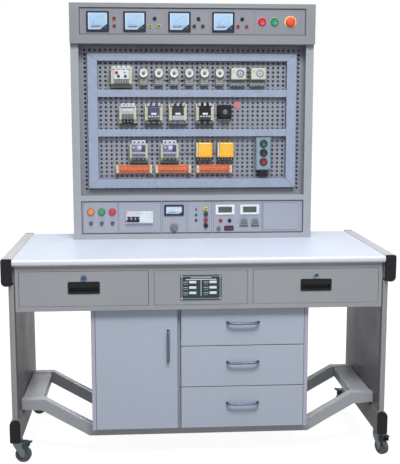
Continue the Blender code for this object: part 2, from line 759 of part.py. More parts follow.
def wheel_mesh():
    """A turned wheel on the Y axis: tyre with rounded shoulders, recessed web and hub, open bore."""
    half = WHEEL_WIDTH / 2
    rim = WHEEL_RADIUS / math.cos(math.pi / WHEEL_SIDES)
    bore = AXLE_RADIUS + AXLE_CLEAR
    web = half - WHEEL_WEB_DEPTH
    side = [(bore, half), (WHEEL_HUB_RADIUS, half), (WHEEL_HUB_RADIUS, web), (WHEEL_WEB_RADIUS, web),
            (WHEEL_WEB_RADIUS, half), (rim - WHEEL_SHOULDER, half), (rim, half - WHEEL_SHOULDER)]
    profile = side + [(radius, -along) for radius, along in side[::-1]]
    mesh = bpy.data.meshes.new("wheel")
    points = [(radius, 0, along) for radius, along in profile]
    edges = [(index, (index + 1) % len(points)) for index in range(len(points))]
    mesh.from_pydata(points, edges, [])
    item = object_from(mesh)
    screw = item.modifiers.new("screw", "SCREW")
    screw.axis = "Z"
    screw.steps = WHEEL_SIDES
    screw.render_steps = WHEEL_SIDES
    screw.use_merge_vertices = True
    screw.merge_threshold = CLEAR / 10
    item = mesh_of(item)
    spin = Matrix.Rotation(math.pi / WHEEL_SIDES, 4, "Z")
    item.data.transform(Matrix.Rotation(math.radians(90), 4, "X") @ spin)
    return item


def fork_side_outline():
    """Side view of a fork arm: a plate that narrows from the bridge to a round end at the axle."""
    top = CASTOR_HEIGHT - CLEAR - RACE_HEIGHT
    shoulder = top - FORK_TOP_THICK
    points = [(-FORK_FRONT, top), (-FORK_FRONT, shoulder)]
    for step in range(2 * ARC_STEPS + 1):
        angle = math.radians(FORK_END_START + FORK_END_SWEEP * step / (2 * ARC_STEPS))
        points.append((CASTOR_TRAIL + FORK_END_RADIUS * math.cos(angle),
                       WHEEL_RADIUS + FORK_END_RADIUS * math.sin(angle)))
    points += [(FORK_REAR, shoulder), (FORK_REAR, top)]
    return points


def make_fork(name):
    """Race, bridge, two arms and the axle, drawn with the stem on Z and the wheel trailing along +X."""
    race_top = CASTOR_HEIGHT - CLEAR
    race_bottom = race_top - RACE_HEIGHT
    inside = WHEEL_WIDTH / 2 + FORK_SIDE_CLEAR
    outside = inside + FORK_THICK
    race = rod("Z", (0, 0, race_bottom - SINK), RACE_RADIUS, RACE_HEIGHT + SINK)
    bridge = box(-FORK_FRONT, FORK_REAR, -outside, outside, race_bottom - FORK_TOP_THICK / 2, race_bottom)
    arms = [prism("Y", fork_side_outline(), side * inside, side * outside) for _, side in SIDES]
    axle = rod("Y", (CASTOR_TRAIL, -outside - AXLE_HEAD, WHEEL_RADIUS), AXLE_RADIUS,
               2 * (outside + AXLE_HEAD), SMALL_SIDES)
    pivot_z = race_top - PEDAL_PIVOT_DROP
    ears = []
    for _, side in SIDES:
        ear_inside = PEDAL_WIDTH / 2 + CLEAR
        ears.append(box(FORK_REAR - FORK_THICK, PEDAL_PIVOT_REACH + PEDAL_PIVOT_RADIUS,
                        side * ear_inside, side * (ear_inside + EAR_THICK),
                        pivot_z - PEDAL_PIVOT_RADIUS, pivot_z + PEDAL_PIVOT_RADIUS))
    fork = fuse(race, bridge, *arms, axle, *ears)
    return sub_part(name, fork, CHROME)


def make_pedal(name):
    """The brake pedal: a cross hub between the fork's ears, and a treadle that rises away from it."""
    pivot = (PEDAL_PIVOT_REACH, -PEDAL_WIDTH / 2, CASTOR_HEIGHT - CLEAR - PEDAL_PIVOT_DROP)
    hub = rod("Y", pivot, PEDAL_PIVOT_RADIUS, PEDAL_WIDTH, SMALL_SIDES)
    low = pivot[2] - PEDAL_THICK / 2
    outline = [(pivot[0], low), (PEDAL_REACH, low + PEDAL_LIFT - PEDAL_THICK / 2),
               (PEDAL_REACH, low + PEDAL_LIFT + PEDAL_THICK / 2), (pivot[0], low + PEDAL_THICK)]
    treadle = prism("Y", outline, -PEDAL_WIDTH / 2, PEDAL_WIDTH / 2)
    return sub_part(name, fuse(hub, treadle), BLACK, (pivot[0], 0, pivot[2]))


def make_castors():
    """Four swivel castors, each turned to its own trailing direction."""
    front = TABLE_FRONT + CASTOR_FRONT_SETBACK
    rear = FOOT_REAR - CASTOR_REAR_SETBACK
    places = (("front_left", -FOOT_X, front), ("front_right", FOOT_X, front),
              ("rear_left", -FOOT_X, rear), ("rear_right", FOOT_X, rear))
    for (label, x, y), angle in zip(places, CASTOR_ANGLES):
        fork = make_fork("castor_fork_" + label)
        wheel = sub_part("castor_wheel_" + label, wheel_mesh(), RUBBER)
        wheel.location = (CASTOR_TRAIL, 0, WHEEL_RADIUS)
        wheel.parent = fork
        pedal = make_pedal("castor_brake_" + label)
        pedal.parent = fork
        fork.location = (x, y, 0)
        fork.rotation_euler = (0, 0, math.radians(angle))


# Apron case with its drawers

def make_apron_case():
    """A folded case under the worktop: a front frame, a floor under each drawer and a hollow middle."""
    rear = APRON_FRONT + APRON_DEPTH
    case = box(-APRON_HALF, APRON_HALF, APRON_FRONT, rear, APRON_BOTTOM, APRON_TOP)
    behind = APRON_FRONT + APRON_FRAME_THICK
    inner = OPENING_X0 - APRON_SHEET
    cutters = []
    for _, side in SIDES:
        cutters.append(box(side * OPENING_X0, side * OPENING_X1, APRON_FRONT - OVERRUN, rear - APRON_SHEET,
                           OPENING_Z0, OPENING_Z1))
        cutters.append(box(side * OPENING_X0, side * OPENING_X1, behind, rear - APRON_SHEET,
                           OPENING_Z0, APRON_TOP + OVERRUN))
        cutters.append(box(side * OPENING_X0, side * OPENING_X1, behind, rear - APRON_SHEET,
                           APRON_BOTTOM - OVERRUN, OPENING_Z0 - APRON_SHEET))
        groove = side * CENTRE_GROOVE_HALF
        cutters.append(box(groove - CENTRE_GROOVE_WIDTH / 2, groove + CENTRE_GROOVE_WIDTH / 2,
                           APRON_FRONT - OVERRUN, APRON_FRONT + CENTRE_GROOVE_DEPTH, OPENING_Z0, OPENING_Z1))
    cutters.append(box(-inner, inner, behind, rear - APRON_SHEET, APRON_BOTTOM + APRON_SHEET,
                       APRON_TOP + OVERRUN))
    sub_part("apron_case", cut(case, *cutters), FRAME_GREY)


def make_plaque():
    """The plate on the middle panel, with a round screw head at each corner."""
    back = APRON_FRONT - CLEAR
    front = back - PLAQUE_THICK
    middle = (OPENING_Z0 + OPENING_Z1) / 2
    plate = box(-PLAQUE_WIDTH / 2, PLAQUE_WIDTH / 2, front, back, middle - PLAQUE_HEIGHT / 2,
                middle + PLAQUE_HEIGHT / 2)
    screws = []
    for _, side in SIDES:
        for up in (-1, 1):
            screws.append(stud(side * (PLAQUE_WIDTH / 2 - PLAQUE_SCREW_INSET), front,
                               middle + up * (PLAQUE_HEIGHT / 2 - PLAQUE_SCREW_INSET),
                               PLAQUE_SCREW_RADIUS, PLAQUE_SCREW_PROUD))
    sub_part("plaque", fuse(plate, *screws), GREEN_PLATE)


def make_pull(label, x):
    """A recessed pull: a flange, a cup sunk in the drawer face and a lip over the upper part of the cup."""
    half_x = PULL_WIDTH / 2
    half_z = PULL_HEIGHT / 2
    face = APRON_FRONT - CLEAR
    flange = box(x - half_x, x + half_x, face - PULL_FLANGE, face, PULL_Z - half_z, PULL_Z + half_z)
    cup_x = half_x - PULL_RIM
    cup_z = half_z - PULL_RIM
    cup = box(x - cup_x, x + cup_x, face - SINK, face + PULL_DEPTH, PULL_Z - cup_z, PULL_Z + cup_z)
    in_x = cup_x - PULL_WALL
    in_z = cup_z - PULL_WALL
    hollow = box(x - in_x, x + in_x, face, face + PULL_DEPTH - PULL_WALL, PULL_Z - in_z, PULL_Z + in_z)
    mouth = box(x - in_x, x + in_x, face - PULL_FLANGE - OVERRUN, face + SINK, PULL_Z - in_z,
                PULL_Z - in_z + 2 * in_z * PULL_LIP_SHARE)
    return sub_part("apron_pull_" + label, cut(fuse(flange, cup), hollow, mouth), BLACK,
                    (x, APRON_FRONT, PULL_Z))


def make_lock(label, x):
    """A lock barrel with a key slot in its head and a short cam behind the drawer face."""
    face = APRON_FRONT - CLEAR
    back = APRON_FRONT + APRON_DRAWER_FACE + CLEAR
    head = rod("Y", (x, face - LOCK_PROUD, LOCK_Z), LOCK_RADIUS, LOCK_PROUD)
    barrel = rod("Y", (x, face - SINK, LOCK_Z), LOCK_BARREL_RADIUS, back - face + LOCK_CAM_THICK + SINK)
    cam = box(x - LOCK_CAM_WIDTH / 2, x + LOCK_CAM_WIDTH / 2, back, back + LOCK_CAM_THICK,
              LOCK_Z - LOCK_CAM_LENGTH, LOCK_Z)
    slot_half = LOCK_RADIUS * LOCK_SLOT_SHARE
    slot = box(x - LOCK_SLOT_WIDTH / 2, x + LOCK_SLOT_WIDTH / 2, face - LOCK_PROUD - OVERRUN,
               face - LOCK_PROUD + LOCK_SLOT_DEPTH, LOCK_Z - slot_half, LOCK_Z + slot_half)
    return sub_part("lock_barrel_" + label, cut(fuse(head, barrel, cam), slot), CHROME,
                    (x, APRON_FRONT, LOCK_Z))


def make_apron_drawer(label, side):
    """An open steel drawer that slides on the case's floor, with its pull and lock."""
    centre = side * DRAWER_X
    half = DRAWER_OPENING_WIDTH / 2 - FRONT_GAP
    face = box(centre - half, centre + half, APRON_FRONT, APRON_FRONT + APRON_DRAWER_FACE,
               OPENING_Z0 + FRONT_GAP, OPENING_Z1 - FRONT_GAP)
    rear = APRON_FRONT + APRON_DRAWER_DEPTH
    wall_top = OPENING_Z1 - APRON_DRAWER_SIDE_DROP
    tray = box(centre - half, centre + half, APRON_FRONT + SINK, rear, OPENING_Z0 + CLEAR, wall_top)
    wall = APRON_DRAWER_WALL
    hollow = box(centre - half + wall, centre + half - wall, APRON_FRONT + APRON_DRAWER_FACE, rear - wall,
                 OPENING_Z0 + CLEAR + wall, OPENING_Z1 + OVERRUN)
    cup_x = PULL_WIDTH / 2 - PULL_RIM + CLEAR
    cup_z = PULL_HEIGHT / 2 - PULL_RIM + CLEAR
    cup_seat = box(centre - cup_x, centre + cup_x, APRON_FRONT - OVERRUN, APRON_FRONT + PULL_DEPTH,
                   PULL_Z - cup_z, PULL_Z + cup_z)
    lock_hole = rod("Y", (centre, APRON_FRONT - OVERRUN, LOCK_Z), LOCK_BARREL_RADIUS + LOCK_HOLE_CLEAR,
                    APRON_DRAWER_FACE + 2 * OVERRUN)
    drawer = cut(fuse(face, tray), hollow, cup_seat, lock_hole)
    drawer = sub_part("apron_drawer_" + label, drawer, FRAME_GREY, (centre, APRON_FRONT, OPENING_Z0))
    carried_by(make_pull(label, centre), drawer)
    carried_by(make_lock(label, centre), drawer)


# Cabinet under the bench

def cabinet_fronts():
    """Bottom and top of each drawer front, from the lowest drawer up."""
    low = CABINET_BOTTOM + FRONT_EDGE_GAP
    first, second = [CABINET_BOTTOM + share * (CABINET_TOP - CABINET_BOTTOM) for share in FRONT_SPLIT_SHARES]
    high = CABINET_TOP - FRONT_EDGE_GAP
    return (("lower", low, first - FRONT_GAP), ("middle", first + FRONT_GAP, second - FRONT_GAP),
            ("upper", second + FRONT_GAP, high))


DRAWER_BAY_X0 = CABINET_DIVIDER_X + CABINET_DIVIDER / 2
DOOR_BAY_X1 = CABINET_DIVIDER_X - CABINET_DIVIDER / 2


def make_carcass():
    """Boards round a door bay and a drawer bay, with a ledge for each side of each drawer."""
    carcass = box(-CABINET_HALF, CABINET_HALF, CABINET_FRONT, CABINET_REAR, CABINET_BOTTOM, CABINET_TOP)
    bay_front = FRONT_BACK + CLEAR
    bay_rear = CABINET_REAR - CABINET_BACK_WALL
    bay_z0 = CABINET_BOTTOM + CABINET_WALL
    bay_z1 = CABINET_TOP - CABINET_WALL
    recess = box(-CABINET_INSIDE, CABINET_INSIDE, CABINET_FRONT - OVERRUN, bay_front,
                 CABINET_BOTTOM - OVERRUN, CABINET_TOP + OVERRUN)
    door_bay = box(-CABINET_INSIDE, DOOR_BAY_X1, bay_front - OVERRUN, bay_rear, bay_z0, bay_z1)
    drawer_bay = box(DRAWER_BAY_X0, CABINET_INSIDE, bay_front - OVERRUN, bay_rear, bay_z0, bay_z1)
    carcass = cut(carcass, recess, door_bay, drawer_bay)
    ledges = []
    for label, low, _ in cabinet_fronts():
        if label == "lower":
            continue
        top = low + BOX_LIFT
        for wall, inward in ((DRAWER_BAY_X0, 1), (CABINET_INSIDE, -1)):
            ledges.append(box(wall - inward * SINK, wall + inward * LEDGE_WIDTH, bay_front, bay_rear + SINK,
                              top - LEDGE_HEIGHT, top))
    sub_part("cabinet_carcass", fuse(carcass, *ledges), FRONT_GREY)


def bow_handle(x, z, upright):
    """A bow of round bar whose two ends stand square on the front at CABINET_FRONT."""
    half = HANDLE_PITCH / 2
    power = 2 / HANDLE_ROUNDNESS
    start = CLEAR
    shape = [(-half, start)]
    for step in range(HANDLE_STEPS + 1):
        angle = math.pi * step / HANDLE_STEPS
        across = -math.copysign(abs(math.cos(angle)) ** power, math.cos(angle))
        reach = HANDLE_FOOT + (HANDLE_REACH - HANDLE_FOOT) * max(math.sin(angle), 0.0) ** power
        shape.append((half * across, reach))
    shape.append((half, start))
    curve = bpy.data.curves.new("bow", "CURVE")
    curve.dimensions = "3D"
    curve.bevel_depth = HANDLE_RADIUS
    curve.bevel_resolution = 2
    curve.use_fill_caps = True
    spline = curve.splines.new("POLY")
    spline.points.add(len(shape) - 1)
    for point, (along, reach) in zip(spline.points, shape):
        dx, dz = (0, along) if upright else (along, 0)
        point.co = (x + dx, CABINET_FRONT - reach, z + dz, 1)
    item = bpy.data.objects.new("bow", curve)
    PARTS.objects.link(item)
    bpy.context.view_layer.update()
    return mesh_of(item)


def make_door():
    """The door, hinged on its left, with an upright bow handle near its free edge."""
    x0 = -CABINET_INSIDE + FRONT_GAP
    x1 = DOOR_BAY_X1 - FRONT_GAP
    z0 = CABINET_BOTTOM + FRONT_EDGE_GAP
    z1 = CABINET_TOP - FRONT_EDGE_GAP
    panel = box(x0, x1, CABINET_FRONT, FRONT_BACK, z0, z1)
    door = sub_part("cabinet_door", panel, FRONT_GREY, (HINGE_AXIS_X, HINGE_AXIS_Y, z0))
    handle_x = x1 - DOOR_HANDLE_INSET
    handle_z = z0 + (z1 - z0) * DOOR_HANDLE_HEIGHT_SHARE
    handle = sub_part("door_handle", bow_handle(handle_x, handle_z, True), DARK_BLUE,
                      (handle_x, CABINET_FRONT, handle_z))
    carried_by(handle, door)
    for label, share in zip(("lower", "upper"), HINGE_HEIGHT_SHARES):
        make_hinge(label, z0 + (z1 - z0) * share)


def make_hinge(label, z):
    """The carcass half of a concealed hinge: a plate on the side board and an arm up to the door's back."""
    wall = -CABINET_INSIDE + CLEAR
    front = FRONT_BACK + CLEAR
    plate_front = front + HINGE_ARM_LENGTH / 2
    plate = box(wall, wall + HINGE_PLATE_THICK, plate_front, plate_front + HINGE_PLATE_LENGTH,
                z - HINGE_PLATE_HEIGHT / 2, z + HINGE_PLATE_HEIGHT / 2)
    arm = box(wall + HINGE_EDGE_INSET, wall + HINGE_ARM_WIDTH, front, front + HINGE_ARM_LENGTH,
              z - HINGE_ARM_HEIGHT / 2, z + HINGE_ARM_HEIGHT / 2)
    sub_part("door_hinge_" + label, fuse(plate, arm), CHROME)


def make_cabinet_drawer(label, z0, z1):
    """A drawer front with its open box behind, and a level bow handle above its middle."""
    x0 = DRAWER_BAY_X0 + FRONT_GAP
    x1 = CABINET_INSIDE - FRONT_GAP
    front = box(x0, x1, CABINET_FRONT, FRONT_BACK, z0, z1)
    rear = CABINET_FRONT + BOX_DEPTH
    floor = z0 + BOX_LIFT + CLEAR
    if label == "lower":
        floor = CABINET_BOTTOM + CABINET_WALL + CLEAR
    tray = box(x0, x1, FRONT_BACK - SINK, rear, floor, z1 - BOX_SIDE_DROP)
    hollow = box(x0 + BOX_WALL, x1 - BOX_WALL, FRONT_BACK, rear - BOX_WALL, floor + BOX_FLOOR, z1 + OVERRUN)
    drawer = sub_part("cabinet_drawer_" + label, cut(fuse(front, tray), hollow), FRONT_GREY,
                      (x0, CABINET_FRONT, z0))
    handle_x = (x0 + x1) / 2
    handle_z = (z0 + z1) / 2 + HANDLE_ABOVE_CENTRE
    handle = sub_part("drawer_handle_" + label, bow_handle(handle_x, handle_z, False), DARK_BLUE,
                      (handle_x, CABINET_FRONT, handle_z))
    carried_by(handle, drawer)


# Upper case

def make_hutch():
    """The sheet case: three bays behind a flanged front, and a head box that overhangs the posts."""
    shell = box(-HUTCH_HALF, HUTCH_HALF, HUTCH_FRONT, TABLE_REAR, HUTCH_BASE, HUTCH_TOP)
    brow = box(-HUTCH_HALF, HUTCH_HALF, HEAD_FRONT, HUTCH_FRONT + HUTCH_FLANGE, HEAD_Z0, HUTCH_TOP)
    inside = HUTCH_HALF - HUTCH_SHEET
    front = HUTCH_FRONT + HUTCH_FLANGE
    rear = TABLE_REAR - HUTCH_SHEET
    shelf_low = SHELF_Z - HUTCH_SHEET / 2
    shelf_high = SHELF_Z + HUTCH_SHEET / 2
    control_bay = box(-inside, inside, front, rear, HUTCH_BASE + HUTCH_SHEET, shelf_low)
    control_window = box(-BAY_HALF, BAY_HALF, HUTCH_FRONT - OVERRUN, front + OVERRUN, CONTROL_Z0, CONTROL_Z1)
    device_bay = box(-inside, inside, front, rear, shelf_high, HEAD_Z0)
    device_window = box(-BAY_HALF, BAY_HALF, HUTCH_FRONT - OVERRUN, front + OVERRUN, BAY_Z0, HEAD_Z0)
    head_bay = box(-inside, inside, HEAD_FRONT + HUTCH_FLANGE, rear, HEAD_Z0 + HUTCH_SHEET,
                   HUTCH_TOP - HUTCH_SHEET)
    head_window = box(-HEAD_OPENING_HALF, HEAD_OPENING_HALF, HEAD_FRONT - OVERRUN,
                      HEAD_FRONT + HUTCH_FLANGE + OVERRUN, HEAD_OPENING_Z0, HEAD_OPENING_Z1)
    case = cut(fuse(shell, brow), control_bay, control_window, device_bay, device_window, head_bay,
               head_window)
    sub_part("hutch_case", case, FRAME_GREY)


def make_board():
    board = box(-PANEL_HALF, PANEL_HALF, BOARD_Y, BOARD_Y + BOARD_THICK,
                SHELF_Z + HUTCH_SHEET / 2 + CLEAR, HEAD_Z0 - CLEAR)
    sub_part("perforated_board", board, BOARD_GREY)


def raised_block(x, y, z, width, height, proud):
    """A block that stands forward of a panel face at y, with its back sunk in the panel."""
    return box(x - width / 2, x + width / 2, y - proud, y + SINK, z - height / 2, z + height / 2)


def recess_in(x, y, z, width, height, rim, proud, depth):
    """The hollow for a dial or display: inside the rim of a raised block."""
    return box(x - width / 2 + rim, x + width / 2 - rim, y - proud - OVERRUN, y - proud + depth,
               z - height / 2 + rim, z + height / 2 - rim)


def head_place(x_share, z_share):
    return x_share * HEAD_OPENING_HALF, HEAD_OPENING_Z0 + z_share * HEAD_OPENING


def control_place(x_share, z_share):
    return x_share * BAY_HALF, CONTROL_Z0 + z_share * CONTROL_OPENING


def button_socket(x, y, z, radius):
    """The collar of a push button on a panel face at y, with a thimble behind it for the button's travel."""
    collar = stud(x, y, z, radius + BUTTON_CLEAR + BUTTON_BEZEL_WIDTH, BUTTON_BEZEL_PROUD, ROUND_SIDES)
    depth = BUTTON_LENGTH + BUTTON_TRAVEL + CLEAR - BUTTON_BEZEL_PROUD
    root = y + SINK / 2
    thimble = rod("Y", (x, root, z), radius + BUTTON_CLEAR + BUTTON_SOCKET_WALL,
                  y + depth + BUTTON_SOCKET_WALL - root)
    bore = rod("Y", (x, y - BUTTON_BEZEL_PROUD - OVERRUN, z), radius + BUTTON_CLEAR,
               OVERRUN + BUTTON_BEZEL_PROUD + depth)
    return (collar, thimble), bore


def make_button(name, x, y, z, radius, finish):
    """A push button proud of its collar by its own travel."""
    front = y - BUTTON_BEZEL_PROUD - BUTTON_TRAVEL / 2
    cap = rod("Y", (x, front, z), radius, BUTTON_LENGTH)
    sub_part(name, cap, finish, (x, front, z))


def make_head_panel():
    """The meter panel: four meter cases, banana sockets, two button collars and the stop button's ring."""
    y = HEAD_PANEL_Y
    panel = box(-PANEL_HALF, PANEL_HALF, y, y + PANEL_THICK, HEAD_Z0 + HUTCH_SHEET + CLEAR,
                HUTCH_TOP - HUTCH_SHEET - CLEAR)
    added = []
    removed = []
    for share in METER_X_SHARES:
        x, z = head_place(share, METER_Z_SHARE)
        added.append(raised_block(x, y, z, METER_WIDTH, METER_HEIGHT, METER_PROUD))
        removed.append(recess_in(x, y, z, METER_WIDTH, METER_HEIGHT, METER_RIM, METER_PROUD,
                                 METER_DIAL_DEPTH))
    rows = ((JACK_UPPER_X_SHARES, JACK_UPPER_Z_SHARE), (JACK_LOWER_X_SHARES, JACK_LOWER_Z_SHARE))
    for x_shares, z_share in rows:
        for share in x_shares:
            x, z = head_place(share, z_share)
            added.append(stud(x, y, z, JACK_RADIUS, JACK_PROUD))
    for share in BUTTON_X_SHARES:
        x, z = head_place(share, BUTTON_Z_SHARE)
        socket, bore = button_socket(x, y, z, BUTTON_RADIUS)
        added.extend(socket)
        removed.append(bore)
    x, z = head_place(ESTOP_X_SHARE, BUTTON_Z_SHARE)
    added.append(stud(x, y, z, ESTOP_RING_RADIUS, ESTOP_RING_PROUD, ROUND_SIDES))
    removed.append(rod("Y", (x, y - ESTOP_RING_PROUD - OVERRUN, z), ESTOP_STEM_RADIUS + BUTTON_CLEAR,
                       ESTOP_RING_PROUD + PANEL_THICK + 2 * OVERRUN))
    sub_part("head_panel", cut(fuse(panel, *added), *removed), FRAME_GREY)
    for name, share, finish in zip(("stop_button", "start_button"), BUTTON_X_SHARES, (RED, GREEN)):
        bx, bz = head_place(share, BUTTON_Z_SHARE)
        make_button(name, bx, y, bz, BUTTON_RADIUS, finish)
    make_estop(x, y - ESTOP_RING_PROUD, z)


def make_estop(x, ring_face, z):
    """A mushroom head held off its ring by its travel, on a stem that passes through the panel."""
    underside = ring_face - ESTOP_TRAVEL - CLEAR
    dome = rod("Y", (0, 0, 0), ESTOP_CAP_RADIUS, ESTOP_CAP_THICK / 2, ROUND_SIDES, ESTOP_DOME_SHARE)
    dome.data.transform(Matrix.Translation((x, underside - ESTOP_CAP_THICK / 2 + SINK, z))
                        @ Matrix.Rotation(math.pi, 4, "Z"))
    skirt = rod("Y", (x, underside - ESTOP_CAP_THICK / 2, z), ESTOP_CAP_RADIUS, ESTOP_CAP_THICK / 2)
    stem = rod("Y", (x, underside - SINK, z), ESTOP_STEM_RADIUS,
               ESTOP_STEM_LENGTH + ESTOP_TRAVEL + SINK)
    sub_part("estop_button", fuse(skirt, dome, stem), ORANGE_RED, (x, underside, z))


def socket_outline(x, z):
    """A multi-pin socket seen from the front: straight below, narrower on top."""
    half = SOCKET_WIDTH / 2
    top = half * SOCKET_TOP_SHARE
    low = z - SOCKET_HEIGHT / 2
    high = z + SOCKET_HEIGHT / 2
    return [(x - half, low), (x + half, low), (x + half, z), (x + top, high), (x - top, high), (x - half, z)]


def make_control_panel():
    """The control panel with every fixed fitting on it, and holes for the knob and the rocker."""
    y = CONTROL_PANEL_Y
    panel = box(-PANEL_HALF, PANEL_HALF, y, y + PANEL_THICK, HUTCH_BASE + HUTCH_SHEET + CLEAR,
                SHELF_Z - HUTCH_SHEET / 2 - CLEAR)
    added = []
    removed = []

    def add_studs(x_shares, z_shares, radius, proud, end_share=1.0):
        for x_share in x_shares:
            for z_share in z_shares:
                sx, sz = control_place(x_share, z_share)
                added.append(stud(sx, y, sz, radius, proud, SMALL_SIDES, end_share))

    def add_display(x_share, z_share, width, height, rim, proud, depth):
        sx, sz = control_place(x_share, z_share)
        added.append(raised_block(sx, y, sz, width, height, proud))
        removed.append(recess_in(sx, y, sz, width, height, rim, proud, depth))

    add_studs(LAMP_X_SHARES, (LAMP_Z_SHARE,), LAMP_RADIUS, LAMP_PROUD, LAMP_DOME_SHARE)
    add_studs(LAMP_X_SHARES, (FUSE_HOLDER_Z_SHARE,), FUSE_HOLDER_RADIUS, FUSE_HOLDER_PROUD)
    add_studs((SMALL_JACK_X_SHARE,), SMALL_JACK_Z_SHARES, SMALL_JACK_RADIUS, SMALL_JACK_PROUD)
    add_studs((TERMINAL_X_SHARE,), TERMINAL_Z_SHARES, TERMINAL_RADIUS, TERMINAL_PROUD)
    add_studs(LEAD_JACK_X_SHARES, (LEAD_JACK_Z_SHARE,), LEAD_JACK_RADIUS, JACK_PROUD)
    add_studs((TRIM_X_SHARE,), (TRIM_Z_SHARE,), TRIM_RADIUS, TRIM_PROUD)
    add_display(SMALL_METER_X_SHARE, SMALL_METER_Z_SHARE, SMALL_METER_WIDTH, SMALL_METER_HEIGHT,
                SMALL_METER_RIM, SMALL_METER_PROUD, METER_DIAL_DEPTH)
    for share in DISPLAY_X_SHARES:
        add_display(share, DISPLAY_Z_SHARE, DISPLAY_WIDTH, DISPLAY_HEIGHT, DISPLAY_RIM, DISPLAY_PROUD,
                    DISPLAY_DEPTH)
    for share in SOCKET_X_SHARES:
        x, z = control_place(share, SOCKET_Z_SHARE)
        added.append(prism("Y", socket_outline(x, z), y - SOCKET_PROUD, y + SINK))
    sub_x0, sub_x1 = (share * BAY_HALF for share in SUBPLATE_X_SHARES)
    margin = SUBPLATE_MARGIN_SHARE * CONTROL_OPENING
    added.append(box(sub_x0, sub_x1, y - SUBPLATE_PROUD, y + SINK, CONTROL_Z0 + margin, CONTROL_Z1 - margin))
    blank_x, _ = control_place(BLANK_X_SHARE, 0)
    margin = BLANK_MARGIN_SHARE * CONTROL_OPENING
    added.append(box(blank_x - BLANK_WIDTH / 2, blank_x + BLANK_WIDTH / 2, y - SUBPLATE_PROUD, y + SINK,
                     CONTROL_Z0 + margin, CONTROL_Z1 - margin))
    x, z = control_place(ROCKER_X_SHARE, ROCKER_Z_SHARE)
    frame_length = ROCKER_LENGTH + 2 * ROCKER_FRAME
    frame_height = ROCKER_HEIGHT + 2 * ROCKER_FRAME
    added.append(raised_block(x, y, z, frame_length, frame_height, ROCKER_FRAME_PROUD))
    tub_depth = ROCKER_SINK + PANEL_THICK + ROCKER_FRAME
    added.append(box(x - frame_length / 2, x + frame_length / 2, y + SINK / 2, y + tub_depth + ROCKER_CLEAR,
                     z - frame_height / 2, z + frame_height / 2))
    removed.append(box(x - ROCKER_LENGTH / 2 - ROCKER_CLEAR, x + ROCKER_LENGTH / 2 + ROCKER_CLEAR,
                       y - ROCKER_FRAME_PROUD - OVERRUN, y + ROCKER_SINK + PANEL_THICK,
                       z - ROCKER_HEIGHT / 2 - ROCKER_CLEAR, z + ROCKER_HEIGHT / 2 + ROCKER_CLEAR))
    knob_x, knob_z = control_place(KNOB_X_SHARE, KNOB_Z_SHARE)
    removed.append(rod("Y", (knob_x, y - OVERRUN, knob_z), KNOB_SHAFT_RADIUS + AXLE_CLEAR,
                       PANEL_THICK + 2 * OVERRUN, SMALL_SIDES))
    sub_part("control_panel", cut(fuse(panel, *added), *removed), FRAME_GREY)
    make_rocker(x, y - ROCKER_FRAME_PROUD, z)
    make_knob(knob_x, y - CLEAR, knob_z)


def make_rocker(x, face, z):
    """A see-saw switch with its right half pressed in; it tips the other way about an upright axis."""
    half = ROCKER_LENGTH / 2
    rise = ROCKER_PROUD - ROCKER_FRAME_PROUD
    swing = math.radians(ROCKER_SWING / 2)
    corner = half * math.cos(swing)
    outline = [(-corner, -rise), (0, -rise + corner * math.tan(swing)), (corner, -rise),
               (corner, rise - ROCKER_CLEAR), (0, ROCKER_SINK), (-corner, rise - ROCKER_CLEAR)]
    body = prism("Z", outline, z - ROCKER_HEIGHT / 2, z + ROCKER_HEIGHT / 2)
    body.data.transform(Matrix.Translation((x, face + rise, 0)) @ Matrix.Rotation(swing, 4, "Z"))
    sub_part("rocker_switch", body, RED, (x, face + rise, z))


def make_knob(x, back, z):
    """The range knob: a round body, a raised grip bar and a shaft through the panel."""
    body = rod("Y", (x, back - KNOB_LENGTH, z), KNOB_RADIUS, KNOB_LENGTH)
    grip = box(x - KNOB_GRIP_WIDTH / 2, x + KNOB_GRIP_WIDTH / 2, back - KNOB_LENGTH - KNOB_GRIP_PROUD,
               back - KNOB_LENGTH + SINK, z - KNOB_RADIUS + SINK, z + KNOB_RADIUS - SINK)
    shaft = rod("Y", (x, back - SINK, z), KNOB_SHAFT_RADIUS, KNOB_SHAFT_LENGTH + SINK, SMALL_SIDES)
    sub_part("range_knob", fuse(body, grip, shaft), FRAME_GREY, (x, back, z))


